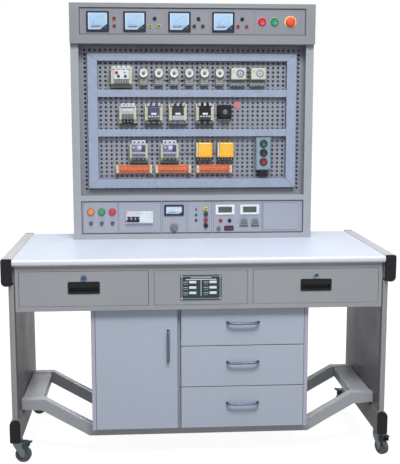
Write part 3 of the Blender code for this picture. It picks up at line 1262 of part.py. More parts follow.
def make_breaker():
    """The circuit breaker: a body with a raised nose and, in it, a pocket for the lever bar."""
    x, z = control_place(BREAKER_X_SHARE, BREAKER_Z_SHARE)
    back = CONTROL_PANEL_Y - SUBPLATE_PROUD - CLEAR
    body = box(x - BREAKER_WIDTH / 2, x + BREAKER_WIDTH / 2, back - BREAKER_SHOULDER_PROUD, back,
               z - BREAKER_HEIGHT / 2, z + BREAKER_HEIGHT / 2)
    nose_half = BREAKER_HEIGHT * BREAKER_NOSE_SHARE / 2
    lever_x = x + LEVER_X_OFFSET
    lever_z = z + LEVER_Z_OFFSET
    nose = box(x - BREAKER_WIDTH / 2, x + BREAKER_WIDTH / 2, back - BREAKER_PROUD, back - SINK,
               lever_z - nose_half, lever_z + nose_half)
    pocket = box(lever_x - LEVER_LENGTH / 2 - CLEAR, lever_x + LEVER_LENGTH / 2 + CLEAR,
                 back - BREAKER_PROUD - OVERRUN, back - SINK, lever_z - LEVER_POCKET_HALF,
                 lever_z + LEVER_POCKET_HALF)
    sub_part("breaker_body", cut(fuse(body, nose), pocket), WHITE)
    pivot_y = back - SINK - CLEAR - LEVER_HUB_RADIUS
    hub = rod("X", (lever_x - LEVER_LENGTH / 2, pivot_y, lever_z), LEVER_HUB_RADIUS, LEVER_LENGTH,
              SMALL_SIDES)
    bar = box(lever_x - LEVER_LENGTH / 2, lever_x + LEVER_LENGTH / 2, -LEVER_REACH, 0,
              -LEVER_THICK / 2, LEVER_THICK / 2)
    bar.data.transform(Matrix.Translation((0, pivot_y, lever_z))
                       @ Matrix.Rotation(math.radians(LEVER_SWING / 2), 4, "X"))
    sub_part("breaker_lever", fuse(hub, bar), BLACK, (lever_x, pivot_y, lever_z))


# Board fittings

def make_duct():
    """The wiring duct: a frame with two cross members, open where the devices sit."""
    front = DEVICE_BACK - DUCT_DEPTH
    frame = box(-DUCT_HALF, DUCT_HALF, front, DEVICE_BACK, DUCT_Z0, DUCT_Z1)
    levels = [DUCT_Z0 + DUCT_BOTTOM]
    for share in DUCT_CROSS_SHARES:
        middle = DUCT_Z0 + share * DUCT_HEIGHT
        levels += [middle - DUCT_CROSS / 2, middle + DUCT_CROSS / 2]
    levels.append(DUCT_Z1 - DUCT_TOP)
    windows = [box(-DUCT_CLEAR_HALF, DUCT_CLEAR_HALF, front - OVERRUN, DEVICE_BACK + OVERRUN, low, high)
               for low, high in zip(levels[::2], levels[1::2])]
    sub_part("wiring_duct", cut(frame, *windows), DUCT_BLUE)


def row_height(share):
    return DUCT_Z0 + share * DUCT_HEIGHT


def row_rail(ends_shares, z):
    x0, x1 = (share * DUCT_CLEAR_HALF for share in ends_shares)
    return box(x0, x1, DEVICE_BACK - RAIL_STRIP_DEPTH, DEVICE_BACK, z - RAIL_STRIP_HEIGHT / 2,
               z + RAIL_STRIP_HEIGHT / 2)


def mounted(x, z, width, height, depth, from_depth=SINK):
    """A block on a mounting rail, from near the board out to its own depth."""
    return box(x - width / 2, x + width / 2, DEVICE_BACK - depth, DEVICE_BACK - from_depth,
               z - height / 2, z + height / 2)


def starter(x, z):
    """A wide base with a raised face and three dials in a line on it."""
    face_width = STARTER_WIDTH * STARTER_FACE_SHARE
    face_front = DEVICE_BACK - STARTER_DEPTH
    pieces = [mounted(x, z, STARTER_WIDTH, STARTER_HEIGHT, STARTER_BASE_DEPTH),
              mounted(x, z, STARTER_WIDTH - 2 * SINK, face_width, STARTER_DEPTH)]
    for share in STARTER_DIAL_SHARES:
        pieces.append(stud(x + share * STARTER_WIDTH, face_front, z, STARTER_DIAL_RADIUS, SINK))
    return pieces


def screw_fuse(x, z):
    """A screw fuse: a slim base with a round cap that stands forward of it."""
    base = mounted(x, z, FUSE_BASE_WIDTH, FUSE_BASE_HEIGHT, FUSE_BASE_DEPTH)
    cap = rod("Y", (x, DEVICE_BACK - FUSE_CAP_DEPTH, z + FUSE_CAP_LIFT), FUSE_CAP_RADIUS,
              FUSE_CAP_DEPTH - RAIL_STRIP_DEPTH, SMALL_SIDES)
    return [base, cap]


def timer(x, z):
    """A plug-in timer: a boxy body over its socket."""
    top = z + TIMER_HEIGHT / 2
    return [mounted(x, z, TIMER_WIDTH, TIMER_HEIGHT, TIMER_BASE_DEPTH),
            mounted(x, top - TIMER_BODY_HEIGHT / 2, TIMER_WIDTH - 2 * SINK, TIMER_BODY_HEIGHT - 2 * SINK,
                    TIMER_DEPTH)]


def relay(x, z, width, height, base_depth, depth, body_share):
    """A relay: a base the full height of the device and a body that covers a share of it."""
    return [mounted(x, z, width, height, base_depth),
            mounted(x, z, width - 2 * SINK, height * body_share, depth)]


def contactor(x, z):
    """A contactor: a base, side wings, a deeper core and a row of terminal teeth along its top."""
    pieces = [mounted(x, z, CONTACTOR_WIDTH, CONTACTOR_HEIGHT, CONTACTOR_BASE_DEPTH),
              mounted(x, z, CONTACTOR_WIDTH - 2 * SINK, CONTACTOR_HEIGHT * CONTACTOR_WING_SHARE,
                      CONTACTOR_WING_DEPTH),
              mounted(x, z, CONTACTOR_WIDTH * CONTACTOR_CORE_SHARE,
                      CONTACTOR_HEIGHT * CONTACTOR_WING_SHARE - 2 * SINK, CONTACTOR_CORE_DEPTH)]
    tooth = CONTACTOR_WIDTH * CONTACTOR_TOOTH_SHARE
    gap = (CONTACTOR_WIDTH - CONTACTOR_TEETH * tooth) / (CONTACTOR_TEETH + 1)
    for index in range(CONTACTOR_TEETH):
        across = x - CONTACTOR_WIDTH / 2 + gap + tooth / 2 + index * (tooth + gap)
        high = z + CONTACTOR_HEIGHT / 2
        pieces.append(mounted(across, high - tooth / 2 - SINK, tooth, tooth, CONTACTOR_WING_DEPTH - SINK))
    return pieces


def make_row_upper():
    """Motor starter, six screw fuses and two timers on one rail."""
    z = row_height(ROW_UPPER_SHARE)
    pieces = starter(STARTER_SHARE * DUCT_CLEAR_HALF, z)
    step = (FUSE_LAST_SHARE - FUSE_FIRST_SHARE) / (FUSE_COUNT - 1)
    for index in range(FUSE_COUNT):
        pieces += screw_fuse((FUSE_FIRST_SHARE + index * step) * DUCT_CLEAR_HALF, z)
    for share in TIMER_SHARES:
        pieces += timer(share * DUCT_CLEAR_HALF, z)
    rail = row_rail(ROW_UPPER_ENDS_SHARES, z - ROW_UPPER_RAIL_DROP)
    sub_part("device_row_upper", fuse(rail, *pieces), CREAM)


def make_row_middle():
    """A relay, three contactors and a round device on one rail."""
    z = row_height(ROW_MIDDLE_SHARE)
    pieces = relay(RELAY_SHARE * DUCT_CLEAR_HALF, z, RELAY_WIDTH, RELAY_HEIGHT, RELAY_BASE_DEPTH,
                   RELAY_DEPTH, THERMAL_TOP_SHARE)
    for share in CONTACTOR_SHARES:
        pieces += contactor(share * DUCT_CLEAR_HALF, z)
    x = ROUND_DEVICE_SHARE * DUCT_CLEAR_HALF
    lifted = z + ROUND_DEVICE_LIFT
    pieces.append(rod("Y", (x, DEVICE_BACK - ROUND_DEVICE_DEPTH, lifted), ROUND_DEVICE_RADIUS,
                      ROUND_DEVICE_DEPTH - SINK))
    pieces.append(stud(x, DEVICE_BACK - ROUND_DEVICE_DEPTH, lifted, ROUND_DEVICE_KNOB_RADIUS,
                       ROUND_DEVICE_KNOB_PROUD))
    sub_part("device_row_middle", fuse(row_rail(ROW_MIDDLE_ENDS_SHARES, z), *pieces), CREAM)


def make_row_lower():
    """Two thermal relays and two plug-in relays on a rail, with three terminal strips on straps below."""
    z = row_height(ROW_LOWER_SHARE)
    strip_z = z - STRIP_DROP
    pieces = []
    for share in THERMAL_SHARES:
        pieces += relay(share * DUCT_CLEAR_HALF, z, THERMAL_WIDTH, THERMAL_HEIGHT, THERMAL_BASE_DEPTH,
                        THERMAL_DEPTH, THERMAL_TOP_SHARE)
    for share in YELLOW_SHARES:
        pieces.append(mounted(share * DUCT_CLEAR_HALF, z, YELLOW_WIDTH, YELLOW_HEIGHT, YELLOW_DEPTH))
    for share in STRIP_SHARES:
        x = share * DUCT_CLEAR_HALF
        pieces.append(mounted(x, strip_z, STRIP_WIDTH, STRIP_HEIGHT, STRIP_DEPTH, 0))
        for _, side in SIDES:
            end_x = x + side * (STRIP_WIDTH - STRIP_END_WIDTH) / 2
            pieces.append(mounted(end_x, strip_z, STRIP_END_WIDTH - SINK, STRIP_HEIGHT - SINK,
                                  STRIP_END_DEPTH))
    for share in STRAP_SHARES:
        x = share * DUCT_CLEAR_HALF
        pieces.append(box(x - STRAP_WIDTH / 2, x + STRAP_WIDTH / 2, DEVICE_BACK - STRAP_DEPTH, DEVICE_BACK,
                          strip_z, z))
    rail = row_rail(ROW_LOWER_ENDS_SHARES, z - ROW_LOWER_RAIL_DROP)
    sub_part("device_row_lower", fuse(rail, *pieces), CREAM)


def make_station():
    """The push-button station: a box with three collars and a cable gland, and its three buttons."""
    x = STATION_SHARE * DUCT_CLEAR_HALF
    z = DUCT_Z0 + STATION_HEIGHT_SHARE * DUCT_HEIGHT
    front = DEVICE_BACK - STATION_DEPTH
    body = bevelled(box(x - STATION_WIDTH / 2, x + STATION_WIDTH / 2, front, DEVICE_BACK,
                        z - STATION_HEIGHT / 2, z + STATION_HEIGHT / 2), STATION_BEVEL)
    collars = []
    bores = []
    heights = [z + STATION_FIRST_LIFT + step * STATION_PITCH for step in (1, 0, -1)]
    for height in heights:
        (collar, thimble), bore = button_socket(x, front, height, STATION_BUTTON_RADIUS)
        bpy.data.objects.remove(thimble, do_unlink=True)
        collars.append(collar)
        bores.append(bore)
    bottom = z - STATION_HEIGHT / 2
    gland = box(x - STATION_GLAND_WIDTH / 2, x + STATION_GLAND_WIDTH / 2, front + STATION_GLAND_SET,
                DEVICE_BACK - STATION_GLAND_SET, bottom - STATION_GLAND_DROP, bottom + STATION_GLAND_SET)
    sub_part("station_box", cut(fuse(body, gland, *collars), *bores), DUCT_BLUE)
    names = (("station_button_upper", GREEN), ("station_button_middle", BLACK),
             ("station_button_lower", RED))
    for height, (name, finish) in zip(heights, names):
        make_button(name, x, front, height, STATION_BUTTON_RADIUS, finish)


def build():
    make_worktop()
    for label, side in SIDES:
        make_end_rail(label, side)
        make_leg(label, side)
    make_cradle()
    make_castors()
    make_apron_case()
    make_plaque()
    for label, side in SIDES:
        make_apron_drawer(label, side)
    make_carcass()
    make_door()
    for label, low, high in cabinet_fronts():
        make_cabinet_drawer(label, low, high)
    make_hutch()
    make_board()
    make_head_panel()
    make_control_panel()
    make_breaker()
    make_duct()
    make_row_upper()
    make_row_middle()
    make_row_lower()
    make_station()


build()
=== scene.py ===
"""Machine tool electrical trainer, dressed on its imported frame.

Everything is in metres with +Z up, and the front faces -Y. A finished piece stands in its own mesh, so its
object stays at the origin, and the paints read those object coordinates.
"""
import math

import bmesh
import bpy
from mathutils import Matrix, Vector


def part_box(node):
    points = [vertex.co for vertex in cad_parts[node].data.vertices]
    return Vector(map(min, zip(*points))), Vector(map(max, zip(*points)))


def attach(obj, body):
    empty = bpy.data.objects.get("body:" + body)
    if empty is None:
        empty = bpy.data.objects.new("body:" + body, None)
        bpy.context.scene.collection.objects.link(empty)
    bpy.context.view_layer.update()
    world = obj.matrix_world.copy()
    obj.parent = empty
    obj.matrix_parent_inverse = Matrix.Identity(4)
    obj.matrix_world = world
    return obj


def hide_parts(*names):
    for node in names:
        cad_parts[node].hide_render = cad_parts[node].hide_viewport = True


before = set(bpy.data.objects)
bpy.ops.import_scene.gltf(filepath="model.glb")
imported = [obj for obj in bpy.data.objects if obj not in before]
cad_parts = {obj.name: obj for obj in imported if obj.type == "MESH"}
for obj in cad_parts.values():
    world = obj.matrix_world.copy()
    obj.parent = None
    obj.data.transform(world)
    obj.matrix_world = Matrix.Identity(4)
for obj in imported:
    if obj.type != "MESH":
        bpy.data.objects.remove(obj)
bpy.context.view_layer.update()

SIDES = (("left", -1), ("right", 1))


# Paint mixing

def seen(red, green, blue):
    """A colour as it is seen on a screen, from 0 to 255, as the light it gives back."""
    return tuple(((part / 255 + 0.055) / 1.055) ** 2.4 if part > 10 else part / 3295
                 for part in (red, green, blue))


def shade(colour, share):
    return tuple(min(part * share, 1.0) for part in colour)


class Socket:
    """The output of a node. Sums, products and comparisons of sockets add Math nodes."""

    def __init__(self, paint, link):
        self.paint = paint
        self.link = link

    def math(self, operation, *values):
        return self.paint.node("Math", {"operation": operation}, dict(enumerate(values)))

    def __add__(self, other):
        return self.math("ADD", self, other)

    def __sub__(self, other):
        return self.math("SUBTRACT", self, other)

    def __rsub__(self, other):
        return self.math("SUBTRACT", other, self)

    def __mul__(self, other):
        return self.math("MULTIPLY", self, other)

    def __truediv__(self, other):
        return self.math("DIVIDE", self, other)

    def __pow__(self, other):
        return self.math("POWER", self, other)

    def __abs__(self):
        return self.math("ABSOLUTE", self)

    def __lt__(self, other):
        return self.math("LESS_THAN", self, other)

    def __gt__(self, other):
        return self.math("GREATER_THAN", self, other)

    __radd__ = __add__
    __rmul__ = __mul__


class Paint:
    """A material being mixed, on the piece's own coordinates."""

    def __init__(self, name, slot, roughness, metallic=0.0, coat=0.0):
        self.material = bpy.data.materials.new(name)
        self.material.use_nodes = True
        self.material["slot"] = slot
        self.tree = self.material.node_tree
        self.shader = self.tree.nodes["Principled BSDF"]
        self.place = self.node("TexCoord", out="Object")
        self.feed("Roughness", roughness)
        self.feed("Metallic", metallic)
        self.feed("Coat Weight", coat)
        self.shader.inputs["Coat Roughness"].default_value = 0.06

    def node(self, kind, settings=None, sockets=None, out=0):
        """Add a node of a kind, with its settings and then its sockets, and give one of its outputs."""
        made = self.tree.nodes.new("ShaderNode" + kind)
        for key, value in (settings or {}).items():
            setattr(made, key, value)
        for key, value in (sockets or {}).items():
            if isinstance(value, Socket):
                self.tree.links.new(value.link, made.inputs[key])
            elif value is not None:
                made.inputs[key].default_value = value
        return Socket(self, made.outputs[out])

    def feed(self, name, value):
        if isinstance(value, Socket):
            self.tree.links.new(value.link, self.shader.inputs[name])
        else:
            self.shader.inputs[name].default_value = value

    def stretched(self, scale):
        return self.node("Mapping", None, {0: self.place, 3: scale})

    def grain(self, scale, detail=2.0, stretch=None):
        """Cloudy noise from 0 to 1, with its cells 1/scale metres wide."""
        place = self.stretched(stretch) if stretch else self.place
        return self.node("TexNoise", None, {"Vector": place, "Scale": scale, "Detail": detail})

    def ramp(self, value, low, high, start=0.0, end=1.0):
        return self.node("MapRange", {"clamp": True}, {0: value, 1: low, 2: high, 3: start, 4: end})

    def blend(self, share, first, second):
        """A colour between two colours, which may themselves be sockets."""
        ends = [value if isinstance(value, Socket) else (*value, 1.0) for value in (first, second)]
        return self.node("Mix", {"data_type": "RGBA"}, {0: share, 6: ends[0], 7: ends[1]}, out=2)

    def axes(self):
        split = self.tree.nodes.new("ShaderNodeSeparateXYZ")
        self.tree.links.new(self.place.link, split.inputs[0])
        return [Socket(self, output) for output in split.outputs]

    def dimple(self, height, distance, strength=1.0):
        """Raise the surface by a height from 0 to 1, up to a distance in metres."""
        self.feed("Normal",
                  self.node("Bump", None, {"Strength": strength, "Distance": distance, "Height": height}))


def powder_coat(name, colour, slot="frame_paint", dusty=False, shine=0.5):
    """Baked powder paint: faint orange peel, soft clouds of gloss, and dust low down."""
    paint = Paint(name, slot, 0.42)
    paint.feed("Specular IOR Level", shine)
    clouds = paint.grain(1.7, 4.0)
    peel = paint.grain(420.0, 1.0)
    tone = paint.blend(paint.ramp(clouds, 0.3, 0.7), shade(colour, 0.95), shade(colour, 1.05))
    if dusty:
        height = paint.axes()[2]
        dust = paint.ramp(height, 0.42, 0.05, 0.0, 0.55) * paint.ramp(paint.grain(9.0, 5.0), 0.38, 0.72)
        tone = paint.blend(dust, tone, shade(seen(150, 144, 134), 0.8))
    paint.feed("Base Color", tone)
    paint.feed("Roughness", paint.ramp(paint.grain(6.0, 3.0), 0.3, 0.7, 0.36, 0.50))
    paint.dimple(peel, 0.00012, 0.7)
    return paint.material


def laminate(name, colour, slot, gloss=0.34):
    """Melamine board: a fine speckle, a satin face and the odd wiped patch."""
    paint = Paint(name, slot, gloss)
    speckle = paint.ramp(paint.grain(380.0, 3.0), 0.35, 0.65)
    clouds = paint.ramp(paint.grain(2.4, 3.0), 0.3, 0.7)
    fine = paint.blend(speckle, shade(colour, 0.97), shade(colour, 1.03))
    paint.feed("Base Color", paint.blend(clouds * 0.5, fine, shade(colour, 0.96)))
    paint.feed("Roughness", paint.ramp(paint.grain(11.0, 4.0), 0.3, 0.7, gloss - 0.05, gloss + 0.09))
    paint.dimple(paint.grain(900.0, 1.0), 0.00004, 0.5)
    return paint.material


def moulded(name, colour, slot, roughness=0.48, coat=0.0, spread=0.06, shine=0.5):
    """Moulded plastic: a fine spark-eroded grain and a slightly uneven colour."""
    paint = Paint(name, slot, roughness, coat=coat)
    paint.feed("Specular IOR Level", shine)
    clouds = paint.ramp(paint.grain(38.0, 3.0), 0.3, 0.7)
    paint.feed("Base Color", paint.blend(clouds, shade(colour, 1 - spread), shade(colour, 1 + spread)))
    paint.feed("Roughness", paint.ramp(paint.grain(90.0, 2.0), 0.3, 0.7, roughness - 0.06, roughness + 0.06))
    paint.dimple(paint.grain(1600.0, 2.0), 0.00006, 0.6)
    return paint.material


def lens(name, colour, slot, coat=0.1):
    """A clear coloured cap over a lamp or a polished push button."""
    paint = Paint(name, slot, 0.40, coat=coat)
    paint.feed("Specular IOR Level", 0.35)
    clouds = paint.ramp(paint.grain(120.0, 1.0), 0.3, 0.7)
    paint.feed("Base Color", paint.blend(clouds, shade(colour, 0.92), shade(colour, 1.08)))
    paint.feed("Roughness", paint.ramp(clouds, 0.0, 1.0, 0.36, 0.46))
    return paint.material


def metal(name, colour, slot, roughness, stretch=(1.0, 1.0, 14.0), tarnish=0.12):
    """Bare or plated metal, with faint drawn lines and dull spots."""
    paint = Paint(name, slot, roughness, metallic=1.0)
    lines = paint.grain(260.0, 3.0, stretch)
    spots = paint.ramp(paint.grain(45.0, 4.0), 0.45, 0.7)
    paint.feed("Base Color", paint.blend(spots * tarnish * 2, colour, shade(colour, 0.6)))
    paint.feed("Roughness",
               paint.ramp(lines, 0.3, 0.7, roughness - 0.06, roughness + 0.08) + spots * tarnish)
    paint.dimple(lines, 0.00003, 0.4)
    return paint.material


def tyre_rubber(name, colour):
    paint = Paint(name, "wheel_rubber", 0.75)
    scuffs = paint.ramp(paint.grain(70.0, 5.0), 0.45, 0.75)
    paint.feed("Base Color", paint.blend(scuffs * 0.6, colour, seen(120, 120, 118)))
    paint.feed("Roughness", paint.ramp(scuffs, 0.0, 1.0, 0.6, 0.85))
    paint.dimple(paint.grain(500.0, 3.0), 0.0003, 0.7)
    return paint.material


def dial_card(name, colour, low, high):
    """A printed card under a clear cover: one cloudy tint, a little darker at its foot."""
    paint = Paint(name, "breaker_plastic", 0.45, coat=0.2)
    _, _, z = paint.axes()
    height = paint.ramp(z, low, high)
    clouds = paint.ramp(paint.grain(30.0, 2.0), 0.3, 0.7, -0.08, 0.08)
    paint.feed("Base Color", paint.blend(height + clouds, shade(colour, 0.88), shade(colour, 1.08)))
    paint.feed("Roughness", paint.ramp(paint.grain(60.0, 2.0), 0.3, 0.7, 0.38, 0.50))
    return paint.material


def printed_plate(name, centre, half_x, half_z):
    """A dark engraved plate: pale border, heading line, middle rule and two columns of three blank bars."""
    paint = Paint(name, "plate_metal", 0.34, metallic=0.30, coat=0.1)
    x, _, z = paint.axes()
    across = (x - centre[0]) / half_x
    up = (z - centre[1]) / half_z

    def bar(middle_x, middle_z, reach_x, reach_z):
        return (abs(across - middle_x) < reach_x) * (abs(up - middle_z) < reach_z)

    white = bar(0.0, -0.04, 0.012, 0.66) + bar(0.0, 0.64, 0.74, 0.03)
    pale = bar(0.0, 0.79, 0.50, 0.05)
    for column in (-0.40, 0.585):
        for row in (0.43, 0.0, -0.43):
            white = white + bar(column, row, 0.17, 0.10)
            pale = pale + bar(column - 0.34, row, 0.12, 0.035) + bar(column - 0.34, row - 0.16, 0.10, 0.02)
    rim = (abs(across) > 0.90) + (abs(up) > 0.86)
    edge = ((abs(across) > 0.955) + (abs(up) > 0.93) > 0.5) * 1.0
    rim = (rim > 0.5) * (1.0 - edge)
    base = paint.blend(paint.ramp(paint.grain(140.0, 3.0), 0.3, 0.7), seen(20, 42, 52), seen(34, 60, 68))
    base = paint.blend(rim * 0.45, base, seen(170, 190, 192))
    base = paint.blend((pale > 0.5) * 0.55, base, seen(205, 215, 214))
    paint.feed("Base Color", paint.blend(white > 0.5, base, seen(236, 240, 238)))
    paint.feed("Roughness", paint.ramp(paint.grain(50.0, 3.0), 0.3, 0.7, 0.28, 0.42))
    paint.feed("Metallic", 0.35 - (white > 0.5) * 0.3)
    return paint.material


FRAME_PAINT = powder_coat("frame_grey", seen(168, 172, 178))
RAIL_PAINT = powder_coat("rail_grey", seen(196, 196, 204))
LEG_PAINT = powder_coat("leg_grey", seen(156, 158, 162), dusty=True)
APRON_PAINT = powder_coat("apron_grey", seen(163, 166, 172))
CASE_PAINT = powder_coat("case_grey", seen(162, 166, 172))
PANEL_PAINT = powder_coat("panel_grey", seen(158, 163, 176))
HEAD_PAINT = powder_coat("head_grey", seen(130, 135, 139))
HEAD_PANEL_PAINT = powder_coat("head_panel_grey", seen(128, 130, 140))
# Painted shade: dark lines for the shaded gaps round the head and control panels and the seams round the
# apron's centre panel.
GAP_SHADE = powder_coat("gap_shade", seen(70, 74, 84))
# Painted shade: the legs' inner faces get a darker, duller grey that stands in for the shade under the
# bench, with real dust low down.
LEG_INSIDE_SHADE = powder_coat("leg_inside_painted_shade", seen(106, 102, 108), dusty=True, shine=0.06)
BOARD_PAINT = powder_coat("board_grey", seen(142, 147, 159), "board_paint")
FRONT_BOARD = laminate("cabinet_laminate", seen(188, 198, 216), "front_laminate")
TRAY_BOARD = laminate("tray_board", seen(214, 214, 210), "front_laminate", 0.5)
EDGE_BAND = laminate("cabinet_edge_band", seen(158, 164, 176), "front_laminate", 0.45)
SIDE_BAND = laminate("cabinet_side_band", seen(190, 192, 210), "front_laminate", 0.45)
# Painted shade: a dark band on the front edge of the carcass bottom, under the door.
CARCASS_FOOT_SHADE = laminate("cabinet_base_painted_shade", seen(108, 104, 110), "front_laminate", 0.45)
WORKTOP_FACE = laminate("worktop_laminate", seen(216, 225, 242), "worktop_laminate", 0.38)
WORKTOP_NOSE = laminate("worktop_nose", seen(224, 229, 238), "worktop_laminate", 0.34)
BLACK_CAP = moulded("black_cap", seen(38, 37, 43), "black_plastic", 0.42, shine=0.14)
LINE_INK = moulded("line_ink", seen(100, 106, 120), "frame_paint", 0.5)
FIGURE_INK = moulded("figure_ink", seen(40, 48, 70), "black_plastic", 0.5, shine=0.2)
BLACK_MATT = moulded("black_matt", seen(34, 36, 40), "black_plastic", 0.55, shine=0.15)
DUCT_COVER = moulded("duct_cover", seen(151, 165, 188), "duct_plastic", 0.38)
DUCT_WALL = moulded("duct_wall", seen(120, 132, 154), "duct_plastic", 0.50)
STATION_SHELL = moulded("station_shell", seen(134, 154, 168), "duct_plastic", 0.38)
CREAM_PLASTIC = moulded("device_cream", seen(194, 195, 172), "device_plastic", 0.46)
PALE_CREAM = moulded("device_pale_cream", seen(202, 204, 192), "device_plastic", 0.40)
OLIVE_PLASTIC = moulded("device_socket", seen(134, 134, 100), "device_plastic", 0.50)
FUSE_BODY = moulded("fuse_body", seen(146, 148, 132), "device_plastic", 0.50, spread=0.12)
LILAC_PLASTIC = moulded("device_lilac", seen(206, 204, 220), "breaker_plastic", 0.36)
DULL_BLUE = moulded("device_dull_blue", seen(112, 122, 160), "breaker_plastic", 0.36)
PALE_PLASTIC = moulded("device_pale", seen(214, 224, 228), "breaker_plastic", 0.36)
PALE_GREY = moulded("device_pale_grey", seen(176, 178, 190), "breaker_plastic", 0.40)
WHITE_PLASTIC = moulded("device_white", seen(226, 228, 236), "breaker_plastic", 0.36)
CERAMIC = moulded("fuse_ceramic", seen(246, 246, 244), "breaker_plastic", 0.16, 0.6, 0.02)
SLATE_PLASTIC = moulded("device_slate", seen(92, 92, 94), "black_plastic", 0.46)
DARK_PLASTIC = moulded("device_dark", seen(50, 52, 60), "black_plastic", 0.44, shine=0.25)
NIGHT_BLUE = moulded("device_night_blue", seen(36, 42, 84), "black_plastic", 0.34, 0.3)
AMBER_PLASTIC = moulded("relay_amber", seen(250, 186, 44), "device_plastic", 0.30, 0.3)
AMBER_DARK = moulded("relay_amber_shade", seen(222, 158, 34), "device_plastic", 0.36)
TERMINAL_ORANGE = moulded("terminal_orange", seen(222, 122, 80), "device_plastic", 0.44)
TERMINAL_SHADE = moulded("terminal_shade", seen(168, 84, 58), "device_plastic", 0.50)
TERMINAL_CREAM = moulded("terminal_cream", seen(216, 200, 172), "device_plastic", 0.44)
PEDAL_PLASTIC = moulded("pedal_plastic", seen(64, 80, 78), "black_plastic", 0.46, shine=0.2)
PEDAL_DARK = moulded("pedal_dark", seen(58, 52, 66), "black_plastic", 0.46, shine=0.2)
OLIVE_DARK = moulded("device_base", seen(70, 82, 72), "device_plastic", 0.5)
KNOB_GREY = moulded("knob_grey", seen(116, 120, 128), "knob_grey", 0.40, shine=0.3)
SOCKET_GREY = moulded("socket_grey", seen(138, 152, 158), "knob_grey", 0.42)
RED_GLOSS = lens("red_gloss", seen(196, 48, 58), "red_button")
GREEN_GLOSS = lens("green_gloss", seen(38, 140, 100), "green_button")
BLACK_GLOSS = lens("black_gloss", seen(30, 32, 36), "black_button")
GREEN_DARK = lens("green_dark", seen(34, 92, 76), "green_button")
RED_DARK = lens("red_dark", seen(142, 36, 52), "red_button")
STOP_ORANGE = lens("stop_orange", seen(226, 74, 34), "red_button")
YELLOW_RING = moulded("yellow_ring", seen(240, 206, 130), "device_plastic", 0.34, 0.3)
TAG_RED = moulded("tag_red", seen(214, 120, 134), "red_button", 0.5)
METER_CASE = moulded("meter_case", seen(36, 46, 62), "black_plastic", 0.40, shine=0.15)
JACK_RED = lens("jack_red", seen(168, 72, 78), "red_button")
JACK_PINK = lens("jack_pink", seen(158, 124, 136), "red_button")
JACK_YELLOW = lens("jack_yellow", seen(200, 188, 92), "device_plastic")
JACK_GREEN = moulded("jack_green", seen(44, 92, 80), "green_button", 0.44, shine=0.2)
JACK_BLACK = moulded("jack_black", seen(44, 46, 60), "black_button", 0.44, shine=0.15)
LAMP_AMBER = lens("lamp_amber", seen(234, 136, 66), "red_button")
LAMP_GREEN = lens("lamp_green", seen(54, 148, 104), "green_button")
LAMP_RED = lens("lamp_red", seen(204, 58, 70), "red_button")
SCREEN = moulded("display_screen", seen(80, 88, 86), "black_button", 0.34, shine=0.3)
PLUM = moulded("rocker_plum", seen(112, 40, 76), "red_button", 0.36, shine=0.3)
DIAL_BLUE = dial_card("dial_blue", seen(158, 192, 224), 1.80, 1.88)
DIAL_MARGIN = dial_card("dial_margin", seen(196, 214, 232), 1.80, 1.88)
SMALL_DIAL = dial_card("small_dial", seen(198, 216, 234), 0.97, 1.01)
CAPTION_INK = moulded("caption_ink", seen(84, 108, 142), "black_plastic", 0.5)
SOCKET_FLOOR = moulded("socket_floor", seen(112, 124, 130), "knob_grey", 0.5)
DISPLAY_BAR = moulded("display_bar", seen(64, 72, 68), "black_plastic", 0.4, shine=0.3)
PLAQUE_PRINT = printed_plate("plaque_print", (0.0, 0.7375), 0.084, 0.0515)
PLATED = metal("plated_steel", (0.40, 0.41, 0.43), "plated_steel", 0.38)
BRIGHT = metal("bright_chrome", (0.36, 0.37, 0.44), "bright_chrome", 0.24, tarnish=0.05)
LOCK_BLUE = metal("lock_blue", (0.12, 0.19, 0.27), "bright_chrome", 0.26, tarnish=0.05)
BLUED_STEEL = metal("blued_steel", (0.10, 0.12, 0.17), "handle_paint", 0.30, (1.0, 1.0, 1.0))
KEY_FACE = metal("lock_face", (0.06, 0.10, 0.15), "bright_chrome", 0.30)
HOLDER_BROWN = moulded("holder_brown", seen(104, 96, 100), "black_plastic", 0.42)
TYRE = tyre_rubber("tyre_rubber", seen(72, 70, 74))
WHEEL_CORE = moulded("wheel_core", seen(92, 94, 98), "wheel_rubber", 0.50)
CASTOR_STEEL = metal("castor_steel", (0.125, 0.150, 0.160), "plated_steel", 0.42)


# Shapes

def rounded(x0, x1, z0, z1, low, high=None, steps=5):
    """A rectangle's outline with one radius for its lower corners and one for its upper ones."""
    high = low if high is None else high
    corners = ((x0 + low, z0 + low, low, 180), (x1 - low, z0 + low, low, 270),
               (x1 - high, z1 - high, high, 0), (x0 + high, z1 - high, high, 90))
    points = []
    for cx, cz, radius, first in corners:
        for step in range(steps + 1):
            angle = math.radians(first + 90 * step / steps)
            points.append((cx + radius * math.cos(angle), cz + radius * math.sin(angle)))
    return points


def ring_points(radius, count):
    angles = [2 * math.pi * step / count for step in range(count)]
    return [(radius * math.cos(angle), radius * math.sin(angle)) for angle in angles]


PLANES = {
    "X": Matrix(((0, 0, 1, 0), (1, 0, 0, 0), (0, 1, 0, 0), (0, 0, 0, 1))),
    "Y": Matrix(((1, 0, 0, 0), (0, 0, 1, 0), (0, 1, 0, 0), (0, 0, 0, 1))),
    "Z": Matrix.Identity(4),
}


